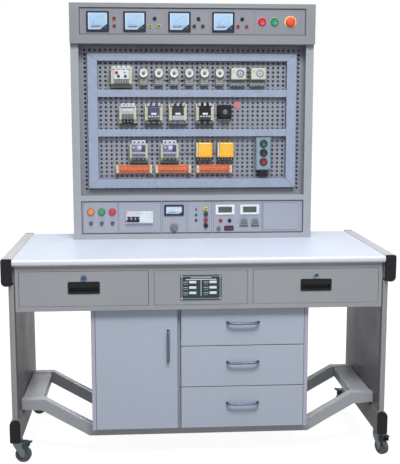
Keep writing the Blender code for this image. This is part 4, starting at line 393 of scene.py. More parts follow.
class Shape:
    """A mesh being made in world coordinates. What is added takes the material named last."""

    def __init__(self, material):
        self.mesh = bmesh.new()
        self.materials = [material]
        self.current = 0

    def use(self, material):
        if material not in self.materials:
            self.materials.append(material)
        self.current = self.materials.index(material)
        return self

    def take(self, part):
        """Add a finished part, with its faces turned outwards."""
        bmesh.ops.recalc_face_normals(part, faces=part.faces)
        for face in part.faces:
            face.material_index = self.current
        carrier = bpy.data.meshes.new("part")
        part.to_mesh(carrier)
        part.free()
        self.mesh.from_mesh(carrier)
        bpy.data.meshes.remove(carrier)
        return self

    def block(self, low, high, edge=0.0, segments=2, turn=None):
        """A block between two corners, with its edges rounded."""
        part = bmesh.new()
        size = [abs(b - a) for a, b in zip(low, high)]
        middle = [(a + b) / 2 for a, b in zip(low, high)]
        bmesh.ops.create_cube(part, size=1, matrix=Matrix.Diagonal((*size, 1)))
        if edge:
            bmesh.ops.bevel(part, geom=list(part.edges), offset=min(edge, min(size) / 2.2),
                            segments=segments, profile=0.5, affect="EDGES")
        part.transform(Matrix.Translation(middle) @ (turn or Matrix.Identity(4)))
        return self.take(part)

    def slab(self, axis, outline, start, end, edge=0.0, segments=2):
        """An outline square to an axis, drawn out between two places on it, with its rims rounded."""
        part = bmesh.new()
        rows = [[part.verts.new(PLANES[axis] @ Vector((a, b, place))) for a, b in outline]
                for place in (start, end)]
        count = len(outline)
        for index in range(count):
            after = (index + 1) % count
            part.faces.new((rows[0][index], rows[0][after], rows[1][after], rows[1][index]))
        caps = [part.faces.new(row) for row in rows]
        if edge:
            rims = {side for cap in caps for side in cap.edges}
            bmesh.ops.bevel(part, geom=list(rims), offset=edge, segments=segments, profile=0.5,
                            affect="EDGES")
        return self.take(part)

    def hoop(self, axis, outer, inner, start, end, edge=0.0):
        """A frame between an outer and an inner outline with as many points as each other."""
        part = bmesh.new()
        loops = []
        for outline, place in ((outer, start), (outer, end), (inner, end), (inner, start)):
            loops.append([part.verts.new(PLANES[axis] @ Vector((a, b, place))) for a, b in outline])
        count = len(outer)
        for first, second in zip(loops, loops[1:] + loops[:1]):
            for index in range(count):
                after = (index + 1) % count
                part.faces.new((first[index], first[after], second[after], second[index]))
        if edge:
            rims = [side for side in part.edges
                    if any(all(vert in loop for vert in side.verts) for loop in (loops[1], loops[2]))]
            bmesh.ops.bevel(part, geom=rims, offset=edge, segments=2, profile=0.5, affect="EDGES")
        return self.take(part)

    def turned(self, centre, profile, sides=24, axis="front", closed=False):
        """A turned form: pairs of radius and distance along an axis that starts at the centre."""
        part = bmesh.new()
        frames = {"front": Matrix.Rotation(math.radians(90), 4, "X"), "up": Matrix.Identity(4),
                  "right": Matrix.Rotation(math.radians(90), 4, "Y")}
        rings = []
        for radius, along in profile:
            count = sides if radius > 1e-6 else 1
            rings.append([part.verts.new((x, y, along)) for x, y in ring_points(radius, count)])
        for low, high in zip(rings, rings[1:] + (rings[:1] if closed else [])):
            for index in range(sides):
                after = (index + 1) % sides
                corners = [low[index % len(low)], low[after % len(low)], high[after % len(high)],
                           high[index % len(high)]]
                unique = list(dict.fromkeys(corners))
                if len(unique) > 2:
                    part.faces.new(unique)
        for ring in () if closed else (rings[0], rings[-1]):
            if len(ring) > 1:
                part.faces.new(ring)
        part.transform(Matrix.Translation(centre) @ frames[axis])
        return self.take(part)

    def bar(self, points, radius, bevel=4):
        """A round bar along a line of points."""
        curve = bpy.data.curves.new("bar", "CURVE")
        curve.dimensions = "3D"
        curve.bevel_depth = radius
        curve.bevel_resolution = bevel
        curve.use_fill_caps = True
        spline = curve.splines.new("POLY")
        spline.points.add(len(points) - 1)
        for target, place in zip(spline.points, points):
            target.co = (*place, 1)
        carrier = shown("bar", curve)
        mesh = worked_out(carrier)
        bpy.data.objects.remove(carrier)
        part = bmesh.new()
        part.from_mesh(mesh)
        bpy.data.meshes.remove(mesh)
        bmesh.ops.remove_doubles(part, verts=part.verts, dist=1e-6)
        return self.take(part)

    def moved(self, matrix):
        self.mesh.transform(matrix)
        return self

    def repaint(self, material, chosen):
        """Give another material to the faces that a test on centre and normal picks."""
        self.use(material)
        for face in self.mesh.faces:
            if chosen(face.calc_center_median(), face.normal):
                face.material_index = self.current
        return self

    def piece(self, name, body="bench", replaces=(), smooth=34):
        """Finish the mesh as a named piece that rides on a body and may stand for CAD nodes."""
        mesh = bpy.data.meshes.new(name)
        self.mesh.to_mesh(mesh)
        self.mesh.free()
        for material in self.materials:
            mesh.materials.append(material)
        mesh.shade_smooth()
        mesh.set_sharp_from_angle(angle=math.radians(smooth))
        made = shown(name, mesh)
        made.modifiers.new("level_shading", "WEIGHTED_NORMAL").keep_sharp = True
        level = worked_out(made)
        made.modifiers.clear()
        made.data = level
        return seat(made, body, replaces)


def shown(name, data):
    """A new object of the scene with this data."""
    made = bpy.data.objects.new(name, data)
    bpy.context.scene.collection.objects.link(made)
    return made


def worked_out(made):
    """A plain mesh of the object, with its modifiers worked in."""
    bpy.context.view_layer.update()
    return bpy.data.meshes.new_from_object(made.evaluated_get(bpy.context.evaluated_depsgraph_get()))


def seat(made, body, replaces=()):
    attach(made, body)
    if replaces:
        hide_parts(*replaces)
    return made


def softened(node, material, edge):
    """A copy of a CAD node, welded and with its sharp edges rounded, that stands for the node."""
    shape = Shape(material)
    shape.mesh.from_mesh(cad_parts[node].data)
    bmesh.ops.remove_doubles(shape.mesh, verts=shape.mesh.verts, dist=0.00001)
    bmesh.ops.dissolve_limit(shape.mesh, angle_limit=math.radians(1), verts=shape.mesh.verts,
                             edges=shape.mesh.edges)
    sharp = [side for side in shape.mesh.edges
             if len(side.link_faces) == 2 and side.calc_face_angle() > math.radians(40)]
    bmesh.ops.bevel(shape.mesh, geom=sharp, offset=edge, segments=2, profile=0.5, affect="EDGES",
                    clamp_overlap=True)
    for face in shape.mesh.faces:
        face.material_index = 0
    return shape


# Growing what repeats

def growth_tree(name, floats=(), vectors=(), integers=(), objects=()):
    """A Geometry Nodes tree with named inputs, and the group's two ends."""
    tree = bpy.data.node_groups.new(name, "GeometryNodeTree")
    tree.interface.new_socket("Geometry", in_out="INPUT", socket_type="NodeSocketGeometry")
    for kind, names in (("Float", floats), ("Vector", vectors), ("Int", integers), ("Object", objects)):
        for label in names:
            tree.interface.new_socket(label, in_out="INPUT", socket_type="NodeSocket" + kind)
    tree.interface.new_socket("Material", in_out="INPUT", socket_type="NodeSocketMaterial")
    tree.interface.new_socket("Geometry", in_out="OUTPUT", socket_type="NodeSocketGeometry")
    return tree, tree.nodes.new("NodeGroupInput"), tree.nodes.new("NodeGroupOutput")


def wire(tree, kind, links, **settings):
    """Add a node, set it up, and link or set its inputs."""
    made = tree.nodes.new(kind)
    for key, value in settings.items():
        setattr(made, key, value)
    for key, value in links.items():
        if isinstance(value, bpy.types.NodeSocket):
            tree.links.new(value, made.inputs[key])
        else:
            made.inputs[key].default_value = value
    return made


def close_tree(tree, given, taken, instances, weld=None):
    """End a tree with Realize Instances, a weld where copies touch, and Set Material."""
    solid = wire(tree, "GeometryNodeRealizeInstances", {"Geometry": instances}).outputs[0]
    if weld:
        solid = wire(tree, "GeometryNodeMergeByDistance", {"Geometry": solid, "Distance": weld}).outputs[0]
    painted = wire(tree, "GeometryNodeSetMaterial",
                   {"Geometry": solid, "Material": given.outputs["Material"]})
    tree.links.new(painted.outputs[0], taken.inputs[0])
    return tree


def grid_tree(name, weld=None):
    """Copies of a mesh in columns and rows."""
    tree, given, taken = growth_tree(name, vectors=("Column Step", "Row Step"), integers=("Columns", "Rows"))
    copies = given.outputs["Geometry"]
    for count, step in (("Columns", "Column Step"), ("Rows", "Row Step")):
        line = wire(tree, "GeometryNodeMeshLine",
                    {"Count": given.outputs[count], "Offset": given.outputs[step]}, mode="OFFSET")
        placed = wire(tree, "GeometryNodeInstanceOnPoints", {"Points": line.outputs[0], "Instance": copies})
        copies = wire(tree, "GeometryNodeRealizeInstances", {"Geometry": placed.outputs[0]}).outputs[0]
    return close_tree(tree, given, taken, copies, weld)


def fan_tree(name):
    """Copies of a mesh turned about the front-to-back axis through the origin, then moved to a centre."""
    tree, given, taken = growth_tree(name, ("First Angle", "Angle Step"), ("Centre",), ("Count",))
    points = wire(tree, "GeometryNodeMeshLine", {"Count": given.outputs["Count"], "Offset": (0.0, 0.0, 0.0)},
                  mode="OFFSET")
    index = tree.nodes.new("GeometryNodeInputIndex")
    turn = wire(tree, "ShaderNodeMath", {0: index.outputs[0], 1: given.outputs["Angle Step"],
                                         2: given.outputs["First Angle"]}, operation="MULTIPLY_ADD")
    about = wire(tree, "ShaderNodeCombineXYZ", {"Y": turn.outputs[0]})
    placed = wire(tree, "GeometryNodeInstanceOnPoints", {
        "Points": points.outputs[0], "Instance": given.outputs["Geometry"], "Rotation": about.outputs[0]})
    shifted = wire(tree, "GeometryNodeTransform", {
        "Geometry": placed.outputs[0], "Translation": given.outputs["Centre"]})
    return close_tree(tree, given, taken, shifted.outputs[0])


def spot_tree(name):
    """Copies of an object's mesh at each point of the given mesh."""
    tree, given, taken = growth_tree(name, objects=("Piece",))
    model = wire(tree, "GeometryNodeObjectInfo", {"Object": given.outputs["Piece"]})
    placed = wire(tree, "GeometryNodeInstanceOnPoints", {
        "Points": given.outputs["Geometry"], "Instance": model.outputs["Geometry"]})
    return close_tree(tree, given, taken, placed.outputs[0])


GRID = grid_tree("copies_in_a_grid")
SHEET = grid_tree("perforated_sheet", 0.00002)
FAN = fan_tree("copies_in_a_fan")
SPOTS = spot_tree("copies_at_spots")


def grown(name, shape, tree, inputs, body="bench", replaces=(), smooth=34):
    """Run a growth tree on a shape, keep the result as a plain mesh and seat it as a piece."""
    start = bpy.data.meshes.new(name)
    shape.mesh.to_mesh(start)
    shape.mesh.free()
    made = shown(name, start)
    modifier = made.modifiers.new("growth", "NODES")
    modifier.node_group = tree
    keys = {item.name: item.identifier for item in tree.interface.items_tree if item.in_out == "INPUT"}
    for label, value in {**inputs, "Material": shape.materials[0]}.items():
        modifier[keys[label]] = value
    made.update_tag()
    mesh = worked_out(made)
    made.modifiers.clear()
    made.data = mesh
    mesh.name = name
    mesh.materials.clear()
    mesh.materials.append(shape.materials[0])
    mesh.polygons.foreach_set("material_index", [0] * len(mesh.polygons))
    mesh.shade_smooth()
    mesh.set_sharp_from_angle(angle=math.radians(smooth))
    return seat(made, body, replaces)


def row_of(name, shape, count, step):
    """A piece of the bench that is one row of copies of a shape."""
    return grown(name, shape, GRID,
                 {"Columns": count, "Rows": 1, "Column Step": step, "Row Step": (0.0, 0.0, 0.0)})


def at_spots(name, model, places):
    """The same small shape at each of many places on the bench."""
    mesh = bpy.data.meshes.new("model")
    model.mesh.to_mesh(mesh)
    model.mesh.free()
    pattern = shown("model", mesh)
    spots = Shape(model.materials[0])
    for place in places:
        spots.mesh.verts.new(place)
    grown(name, spots, SPOTS, {"Piece": pattern})
    bpy.data.objects.remove(pattern)


# Bench

BOX = {node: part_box(node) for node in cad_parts}


def middle_of(node):
    """The x and z of the middle of a CAD node."""
    low, high = BOX[node]
    return (low[0] + high[0]) / 2, (low[2] + high[2]) / 2


def both_sides(near, far):
    """Two distances from a middle line, in rising order, first on its left and then on its right."""
    return [sorted((side * near, side * far)) for side in (-1, 1)]


CORNERS = ("front_left", "front_right", "rear_left", "rear_right")
CASTOR_X = 0.762
CASTOR_FRONT = -0.315
CASTOR_REAR = 0.250
CASTOR_ANGLES = (-8, -64, 20, 160)
WHEEL_OFFSET = 0.024
AXLE_HEIGHT = 0.033
CASE_FRONT = -0.355
APRON_FACE = -0.3553
CABINET_FRONT = -0.325
CAP_LENGTH = 0.015
SEAM = 0.0003
LEG_IN = 0.748
LEG_OUT = 0.776
TUBE = 0.044


def make_worktop():
    low, high = BOX["worktop"]
    board = Shape(WORKTOP_FACE)
    board.slab("X", rounded(low[1], high[1], low[2], high[2], 0.011, steps=7), low[0], high[0])
    board.repaint(WORKTOP_NOSE, lambda centre, normal: centre.y < low[1] + 0.0112)
    board.piece("worktop_board", replaces=["worktop"])


def make_end_rail(label):
    low, high = BOX["top_rail_" + label]
    outline = rounded(low[0], high[0], low[2], high[2], 0.017, 0.006, 7)
    rail = Shape(RAIL_PAINT).slab("Y", outline, low[1], high[1] - CAP_LENGTH - SEAM)
    rail.use(BLACK_CAP).slab("Y", outline, high[1] - CAP_LENGTH, high[1], 0.003)
    rail.piece("end_rail_" + label, replaces=["top_rail_" + label])
    front, back = BOX["top_cap_" + label]
    cap = Shape(BLACK_CAP).slab("Y", outline, front[1], back[1], 0.003, 3)
    cap.piece("end_rail_cap_" + label, replaces=["top_cap_" + label])


def make_leg(label, side):
    """A leg panel on its foot rail, whose rear end is closed by a black cap."""
    rear = BOX["leg_" + label][1][1]
    inner, outer = sorted((side * LEG_IN, side * LEG_OUT))
    leg = Shape(LEG_PAINT)
    leg.slab("Z", rounded(inner, outer, CASE_FRONT, 0.245, 0.010, steps=6), 0.186, 0.7537)
    wall = sorted((side * LEG_IN, side * 0.7562))
    leg.block((wall[0], -0.335, 0.745), (wall[1], 0.225, BOX["leg_" + label][1][2]))
    low, high = BOX["foot_cap_" + label]
    outline = rounded(low[0], high[0], low[2], high[2], 0.006, 0.019, 7)
    leg.slab("Y", outline, high[1] + SEAM, rear - CAP_LENGTH - SEAM)
    # The inner faces take the darker grey of painted shade.
    leg.repaint(LEG_INSIDE_SHADE, lambda centre, normal: normal.x * side < -0.6)
    leg.use(BLACK_CAP).slab("Y", outline, rear - CAP_LENGTH, rear, 0.003)
    leg.piece("leg_panel_" + label, replaces=["leg_" + label])
    cap = Shape(BLACK_CAP).slab("Y", outline, low[1], high[1], 0.003, 3)
    cap.piece("foot_rail_cap_" + label, replaces=["foot_cap_" + label])


def band(top, thickness):
    """A band of one thickness under a line of points, with mitred bends."""
    under = []
    ways = [math.atan2(b[1] - a[1], b[0] - a[0]) for a, b in zip(top, top[1:])]
    for index, (x, z) in enumerate(top):
        first = ways[max(index - 1, 0)]
        second = ways[min(index, len(ways) - 1)]
        reach = thickness / math.cos((second - first) / 2)
        heading = (first + second) / 2
        under.append((x + reach * math.sin(heading), z - reach * math.cos(heading)))
    return list(top) + under[::-1]


def make_cradle():
    low, high = BOX["cradle_frame"]
    line = [(low[0], 0.248), (low[0] + 0.098, 0.248), (-0.453, 0.1287)]
    outline = band(line + [(-x, z) for x, z in line[::-1]], TUBE)
    cradle = Shape(FRAME_PAINT)
    for front in (low[1], high[1] - TUBE):
        cradle.slab("Y", outline, front, front + TUBE, 0.003)
    for _, side in SIDES:
        inner, outer = sorted((side * (high[0] - 0.088), side * (high[0] - 0.0015)))
        cradle.block((inner, low[1] + 0.0015, 0.2055), (outer, high[1] - 0.0015, 0.2465), 0.003)
    cradle.piece("cradle_tubes", replaces=["cradle_frame"])


def fork_outline():
    points = [(-0.016, 0.0887), (-0.016, 0.077), (-0.010, 0.066)]
    for step in range(13):
        angle = math.radians(200 + 140 * step / 12)
        points.append((WHEEL_OFFSET + 0.010 * math.cos(angle), AXLE_HEIGHT + 0.010 * math.sin(angle)))
    return points + [(0.037, 0.066), (0.038, 0.077), (0.038, 0.0887)]


def castor_fork(place, corner):
    """Bearing cups, a folded bridge with two arms, ears for the pedal and an axle bolt with its nut."""
    fork = Shape(CASTOR_STEEL)
    fork.turned((0, 0, 0),
                [(0, 0.0860), (0.0185, 0.0860), (0.0215, 0.0888), (0.0215, 0.0922), (0.0190, 0.0930),
                 (0.0190, 0.0942), (0.0220, 0.0950), (0.0220, 0.0985), (0.0205, 0.0997),
                 (0, 0.0997)], 32, "up")
    fork.block((-0.016, -0.0165, 0.0812), (0.038, 0.0165, 0.0887), 0.0034, 3)
    for arm, ear in zip(both_sides(0.0135, 0.0165), both_sides(0.0103, 0.0133)):
        fork.slab("Y", fork_outline(), arm[0], arm[1], 0.0007)
        fork.block((0.035, ear[0], 0.0767), (0.046, ear[1], 0.0847), 0.001)
    fork.turned((WHEEL_OFFSET, 0.0175, AXLE_HEIGHT), [(0, 0), (0.0038, 0), (0.0038, 0.035), (0, 0.035)], 16)
    fork.turned((WHEEL_OFFSET, -0.0163, AXLE_HEIGHT),
                [(0, 0), (0.0066, 0), (0.0066, 0.0012), (0.0058, 0.0017), (0, 0.0017)], 6)
    fork.turned((WHEEL_OFFSET, 0.0180, AXLE_HEIGHT),
                [(0, 0), (0.0055, 0), (0.0062, 0.0008), (0.0062, 0.0016), (0, 0.0016)], 18)
    fork.moved(place).piece("castor_yoke_" + corner, "castor_" + corner, ["castor_fork_" + corner])


def castor_wheel(place, corner):
    """A rubber tyre with rolled shoulders round a dished core."""
    middle = (WHEEL_OFFSET, 0, AXLE_HEIGHT)
    wheel = Shape(TYRE)
    shoulder = [(0.029 + 0.004 * math.sin(math.radians(angle)),
                 0.008 + 0.004 * math.cos(math.radians(angle))) for angle in (0, 22, 45, 68, 90)]
    half = [(0.0232, 0.0108)] + shoulder
    wheel.turned(middle, half + [(radius, -along) for radius, along in half[::-1]], 48, closed=True)
    core = [(0.0046, 0.0118), (0.0100, 0.0118), (0.0110, 0.0108), (0.0112, 0.0074), (0.0205, 0.0074),
            (0.0222, 0.0112), (0.0234, 0.0112)]
    wheel.use(WHEEL_CORE)
    wheel.turned(middle, core + [(radius, -along) for radius, along in core[::-1]], 40, closed=True)
    wheel.moved(place).piece("castor_tyre_" + corner, "castor_wheel_" + corner, ["castor_wheel_" + corner])


def castor_pedal(place, corner):
    """A moulded brake pedal with grip ribs across its treadle."""
    pedal = Shape(PEDAL_PLASTIC if "left" in corner else PEDAL_DARK)
    for cheek in both_sides(0.0171, 0.0190):
        pedal.slab("Y",
                   [(0.022, 0.0660), (0.031, 0.0560), (0.0450, 0.0590), (0.0478, 0.0700), (0.0475, 0.0840),
                    (0.0450, 0.0855), (0.026, 0.0855), (0.022, 0.0800)], cheek[0], cheek[1], 0.0007)
    pedal.turned((0.042, 0.0190, 0.0807), [(0, 0), (0.0035, 0), (0.0035, 0.0380), (0, 0.0380)], 18)
    pedal.turned((0.042, 0.010, 0.0807), [(0, 0), (0.004, 0), (0.004, 0.020), (0, 0.020)], 18)
    tread = [(0.040, 0.0782), (0.050, 0.0812), (0.0605, 0.0848), (0.061, 0.0862), (0.0605, 0.0895),
             (0.0585, 0.0898), (0.049, 0.0868), (0.040, 0.0834)]
    pedal.slab("Y", tread, -0.0098, 0.0098, 0.0012)
    for step in range(3):
        x = 0.0500 + 0.0036 * step
        pedal.block((x, -0.008, 0.0866 + 0.0012 * step), (x + 0.0014, 0.008, 0.0884 + 0.0012 * step), 0.0004)
    pedal.moved(place).piece("castor_pedal_" + corner, "castor_brake_" + corner, ["castor_brake_" + corner])


def make_castors():
    for corner, angle in zip(CORNERS, CASTOR_ANGLES):
        side = -CASTOR_X if "left" in corner else CASTOR_X
        depth = CASTOR_FRONT if "front" in corner else CASTOR_REAR
        place = Matrix.Translation((side, depth, 0)) @ Matrix.Rotation(math.radians(angle), 4, "Z")
        castor_fork(place, corner)
        castor_wheel(place, corner)
        castor_pedal(place, corner)


def make_apron():
    case = softened("apron_case", APRON_PAINT, 0.0005)
    case.piece("apron_shell", replaces=["apron_case"])
    # Dark seam lines round the apron's centre panel, in the gap shade paint, whose darkness is painted
    # shade.
    seams = Shape(GAP_SHADE)
    low, high = BOX["apron_drawer_left"][1], BOX["apron_drawer_right"][0]
    thin_frame(seams, low[0] + 0.024, high[0] - 0.024, high[2], low[2], CASE_FRONT, 0.0014)
    seams.piece("centre_panel_seams")
    plate = Shape(PLAQUE_PRINT)
    plate.slab("Y", rounded(-0.084, 0.084, 0.686, 0.789, 0.003), -0.3578, APRON_FACE, 0.0005)
    plate.use(PLATED)
    for x in (-0.0785, 0.0785):
        for z in (0.6915, 0.7835):
            plate.turned((x, -0.3577, z), [(0.0042, 0), (0.0040, 0.0008), (0.0022, 0.0015), (0, 0.0016)], 18)
            plate.use(BLACK_MATT).block((x - 0.003, -0.35935, z - 0.0004), (x + 0.003, -0.3588, z + 0.0004))
            plate.use(PLATED)
    plate.piece("plaque_plate", replaces=["plaque"])


def make_pull(label, body):
    """A black recessed pull: a rounded flange, a cup and a rolled lip across the cup's middle."""
    low, high = BOX["apron_pull_" + label]
    x0, x1, z0, z1 = low[0], high[0], low[2], high[2]
    rim = 0.0075
    inner = rounded(x0 + rim, x1 - rim, z0 + rim, z1 - rim, 0.004)
    cup = Shape(BLACK_CAP)
    cup.hoop("Y", rounded(x0, x1, z0, z1, 0.006), inner, APRON_FACE, low[1], 0.0009)
    cup.hoop("Y", rounded(x0 + 0.0046, x1 - 0.0046, z0 + 0.0046, z1 - 0.0046, 0.005), inner,
             high[1], -0.3540)
    cup.slab("Y", inner, high[1] - 0.002, high[1])
    middle = (z0 + z1) / 2 + 0.0030
    cup.use(BLACK_MATT).slab("X", [(-0.3570, z1 - rim), (-0.3570, middle), (-0.3548, middle - 0.0015),
                                   (-0.3530, middle), (-0.3548, z1 - rim)], x0 + rim, x1 - rim)
    cup.use(BLACK_CAP).bar([(x0 + rim, -0.3556, middle), (x1 - rim, -0.3556, middle)], 0.0016, 3)
    cup.piece("pull_cup_" + label, body, ["apron_pull_" + label])


def make_lock(label):
    """A chrome lock head with a sunk key face, on its barrel with a cam behind."""
    low, high = BOX["lock_barrel_" + label]
    x = middle_of("lock_barrel_" + label)[0]
    z = high[2] - 0.013
    head = Shape(LOCK_BLUE if label == "left" else BRIGHT)
    front = APRON_FACE - low[1]
    head.turned((x, APRON_FACE, z),
                [(0.0088, 0), (0.0129, 0), (0.0130, front - 0.0022), (0.0118, front - 0.0004),
                 (0.0104, front), (0.0090, front - 0.0006), (0.0086, front - 0.0024)], 40)
    behind = high[1] - low[1] - 0.0026
    head.turned((x, high[1], z), [(0, 0), (0.0088, 0), (0.0088, behind), (0, behind)], 24)
    head.block((x - 0.005, high[1] - 0.003, z - 0.022), (x + 0.005, high[1], z), 0.0008)
    head.use(KEY_FACE).turned((x, low[1] + 0.0024, z), [(0.0087, 0), (0.0084, 0.0007), (0, 0.0008)], 32)
    head.use(BLACK_MATT).block((x - 0.0009, low[1] + 0.0009, z - 0.0062),
                               (x + 0.0009, low[1] + 0.0021, z + 0.0062))
    head.piece("lock_head_" + label, "lock_" + label, ["lock_barrel_" + label])


def make_apron_drawer(label):
    body = "apron_drawer_" + label
    drawer = softened(body, APRON_PAINT, 0.0007)
    drawer.piece("drawer_tray_" + label, body, [body])
    make_pull(label, body)
    make_lock(label)


# Cabinet under the bench

def bow(x, z, upright):
    """The line of a bow handle, from one foot to the other."""
    points = [(-0.064, 0.0004)]
    for step in range(29):
        angle = math.pi * step / 28
        across = -math.copysign(abs(math.cos(angle)) ** 0.5, math.cos(angle))
        points.append((0.064 * across, 0.003 + 0.0198 * max(math.sin(angle), 0.0) ** 0.5))
    points.append((0.064, 0.0004))
    return [(x + (0 if upright else along), CABINET_FRONT - reach, z + (along if upright else 0))
            for along, reach in points]


def make_handle(node, body, upright):
    x, z = middle_of(node)
    handle = Shape(BLUED_STEEL).bar(bow(x, z, upright), 0.0052, 5)
    for end in (-0.064, 0.064):
        foot = (x + (0 if upright else end), -0.3252, z + (end if upright else 0))
        handle.turned(foot, [(0.0066, 0), (0.0066, 0.0010), (0.0054, 0.0018), (0, 0.0018)], 20)
    handle.piece(node + "_bow", body, [node])


def front_board(node, body):
    """A board front with a paler tray behind it and banded edges."""
    board = softened(node, FRONT_BOARD, 0.0010)
    board.repaint(EDGE_BAND,
                  lambda centre, normal: centre.y > -0.3245 and centre.y < -0.3068 and abs(normal.y) < 0.5)
    board.repaint(TRAY_BOARD, lambda centre, normal: centre.y > -0.3060)
    board.piece(node + "_board", body, [node])


def make_cabinet():
    carcass = softened("cabinet_carcass", EDGE_BAND, 0.0006)
    carcass.repaint(FRONT_BOARD, lambda centre, normal: abs(normal.x) > 0.5 and abs(centre.x) > 0.449)
    carcass.repaint(TRAY_BOARD,
                    lambda centre, normal: centre.y > -0.30 and abs(centre.x) < 0.44 and centre.y < 0.14)
    # The front edge of the bottom board takes the painted shade band.
    carcass.repaint(CARCASS_FOOT_SHADE,
                    lambda centre, normal: normal.y < -0.9 and -0.31 < centre.y < -0.30
                    and centre.z < 0.1455)
    carcass.repaint(SIDE_BAND, lambda centre, normal: normal.y < -0.9 and centre.y < -0.32)
    carcass.piece("cabinet_shell", replaces=["cabinet_carcass"])
    front_board("cabinet_door", "cabinet_door")
    make_handle("door_handle", "cabinet_door", True)
    for level in ("lower", "middle", "upper"):
        front_board("cabinet_drawer_" + level, "cabinet_drawer_" + level)
        make_handle("drawer_handle_" + level, "cabinet_drawer_" + level, False)
    for level in ("lower", "upper"):
        hinge = softened("door_hinge_" + level, PLATED, 0.0008)
        hinge.piece("hinge_arm_" + level, replaces=["door_hinge_" + level])


# Upper case

HEAD_Y = 0.1483
HEAD_HALF = 0.507
HEAD_FOOT = 1.782
HEAD_TALL = 0.118
CONTROL_Y = 0.1763
CONTROL_HALF = 0.514
CONTROL_FOOT = 0.8828
CONTROL_TOP = 1.0368
GAP_SHADOW_WIDTH = 0.0040
HOLE_RADIUS = 0.0057
HOLE_COLUMNS = 43
HOLE_ROWS = 33
HOLE_STEP_X = 0.0234
HOLE_STEP_Z = 0.0198
BOARD_MIDDLE_Z = 1.4045
DUCT_FOOT = 1.0928
DUCT_TALL = 0.612
# Places on the head panel, as shares of its half width and of its height
METER_SHARES = (-0.838, -0.515, -0.1225, 0.264)
HEAD_GROUPS = ((-0.965, -0.640), (-0.625, -0.255), (-0.240, 0.138), (0.152, 0.534), (0.548, 0.958))
HEAD_JACKS = ((-0.694, 0.602, "red"), (-0.694, 0.330, "red"), (-0.340, 0.602, "black"),
              (-0.379, 0.330, "yellow"), (-0.304, 0.330, "yellow"), (0.0455, 0.602, "black"),
              (0.008, 0.330, "green"), (0.083, 0.330, "green"), (0.432, 0.602, "black"),
              (0.395, 0.330, "red"), (0.472, 0.330, "red"))
JACK_RINGS = {"red": JACK_RED, "pink": JACK_PINK, "yellow": JACK_YELLOW, "green": JACK_GREEN,
              "black": JACK_BLACK}


def head_at(x_share, z_share):
    return x_share * HEAD_HALF, HEAD_FOOT + z_share * HEAD_TALL


def thin_frame(shape, x0, x1, z0, z1, face, width=0.0012):
    """A thin frame on a panel face: an engraved line in line ink, or a dark gap line of painted shade in the
    gap shade paint.
    """
    shape.hoop("Y", rounded(x0, x1, z0, z1, 0.004),
               rounded(x0 + width, x1 - width, z0 + width, z1 - width, 0.003), face + 0.0002, face - 0.0002)


def banana_jack(shape, x, face, z, radius, proud, ring):
    """A safety socket: a coloured collar with a rolled rim round a dark bore."""
    shape.use(ring).turned((x, face, z),
                           [(radius, -0.0005), (radius, proud - 0.0012), (radius - 0.0010, proud),
                            (radius * 0.62, proud), (radius * 0.52, proud - 0.0010),
                            (radius * 0.50, 0.0002)], 28)
    shape.use(BLACK_MATT).turned((x, face, z), [(radius * 0.50, 0.0003), (radius * 0.50, proud - 0.0020),
                                                (0, proud - 0.0020)], 20)
    shape.use(DARK_PLASTIC).turned((x, face, z),
                                   [(0.0014, 0.0003), (0.0014, proud - 0.0016), (0, proud - 0.0014)], 12)


def meter(shape, x, z, width, height, face, proud, recess, rims, dial, margin, corner):
    """A square pointer meter: dark frame, margin, tinted dial, needle and a dark corner over its pivot.

    The rims are the frame's widths at its sides, its foot and its top.
    """
    side, foot, top = rims
    x0, x1, z0, z1 = x - width / 2, x + width / 2, z - height / 2, z + height / 2
    ix0, ix1, iz0, iz1 = x0 + side, x1 - side, z0 + foot, z1 - top
    across, tall = ix1 - ix0, iz1 - iz0
    shape.use(METER_CASE)
    shape.hoop("Y", rounded(x0, x1, z0, z1, 0.004), rounded(ix0, ix1, iz0, iz1, 0.0025), face + 0.0005,
               face - proud, 0.0008)
    glass = face - proud + recess
    shape.use(margin).block((ix0 - 0.001, glass, iz0 - 0.001), (ix1 + 0.001, face, iz1 + 0.001))
    inset = across * 0.055
    shape.use(dial).slab("Y", rounded(ix0 + inset, ix1 - inset, iz0 + inset, iz1 - inset, 0.002),
                         glass - 0.0003, glass)
    pivot_x, pivot_z = ix1 - across * 0.14, iz0 + tall * 0.16
    arc = across * 0.64
    shape.use(LINE_INK)
    for degrees in range(92, 179, 2):
        a, b = math.radians(degrees), math.radians(degrees + 2)
        points = [(pivot_x + r * math.cos(t), pivot_z + r * math.sin(t) * tall / across)
                  for r, t in ((arc, a), (arc, b), (arc - across * 0.009, b), (arc - across * 0.009, a))]
        shape.slab("Y", points, glass - 0.0005, glass - 0.0003)
    caption = (ix0 + across * 0.15, ix0 + across * 0.60, iz0 + tall * 0.13, iz0 + tall * 0.21)
    shape.use(CAPTION_INK).block((caption[0], glass - 0.0005, caption[2]),
                                 (caption[1], glass - 0.0003, caption[3]))
    reach = math.radians(168)
    tip = (pivot_x + arc * 1.04 * math.cos(reach), pivot_z + arc * 1.04 * math.sin(reach))
    shape.use(FIGURE_INK)
    shape.slab("Y", [(pivot_x, pivot_z - 0.0005), (pivot_x, pivot_z + 0.0005), (tip[0], tip[1] + 0.0002),
                     (tip[0], tip[1] - 0.0002)], glass - 0.0014, glass - 0.0010)
    shape.use(METER_CASE)
    shape.slab("Y",
               [(ix1 + 0.0005, iz0 - 0.0005), (ix1 + 0.0005, iz0 + tall * corner[1]),
                (ix1 - across * 0.05, iz0 + tall * (corner[1] - 0.05)),
                (ix1 - across * corner[0], iz0 - 0.0005)], glass - 0.0022, glass)
    shape.use(PLATED).turned((pivot_x + across * 0.05, glass - 0.0021, pivot_z - tall * 0.045),
                             [(0.0018, 0), (0.0016, 0.0005), (0, 0.0006)], 16)


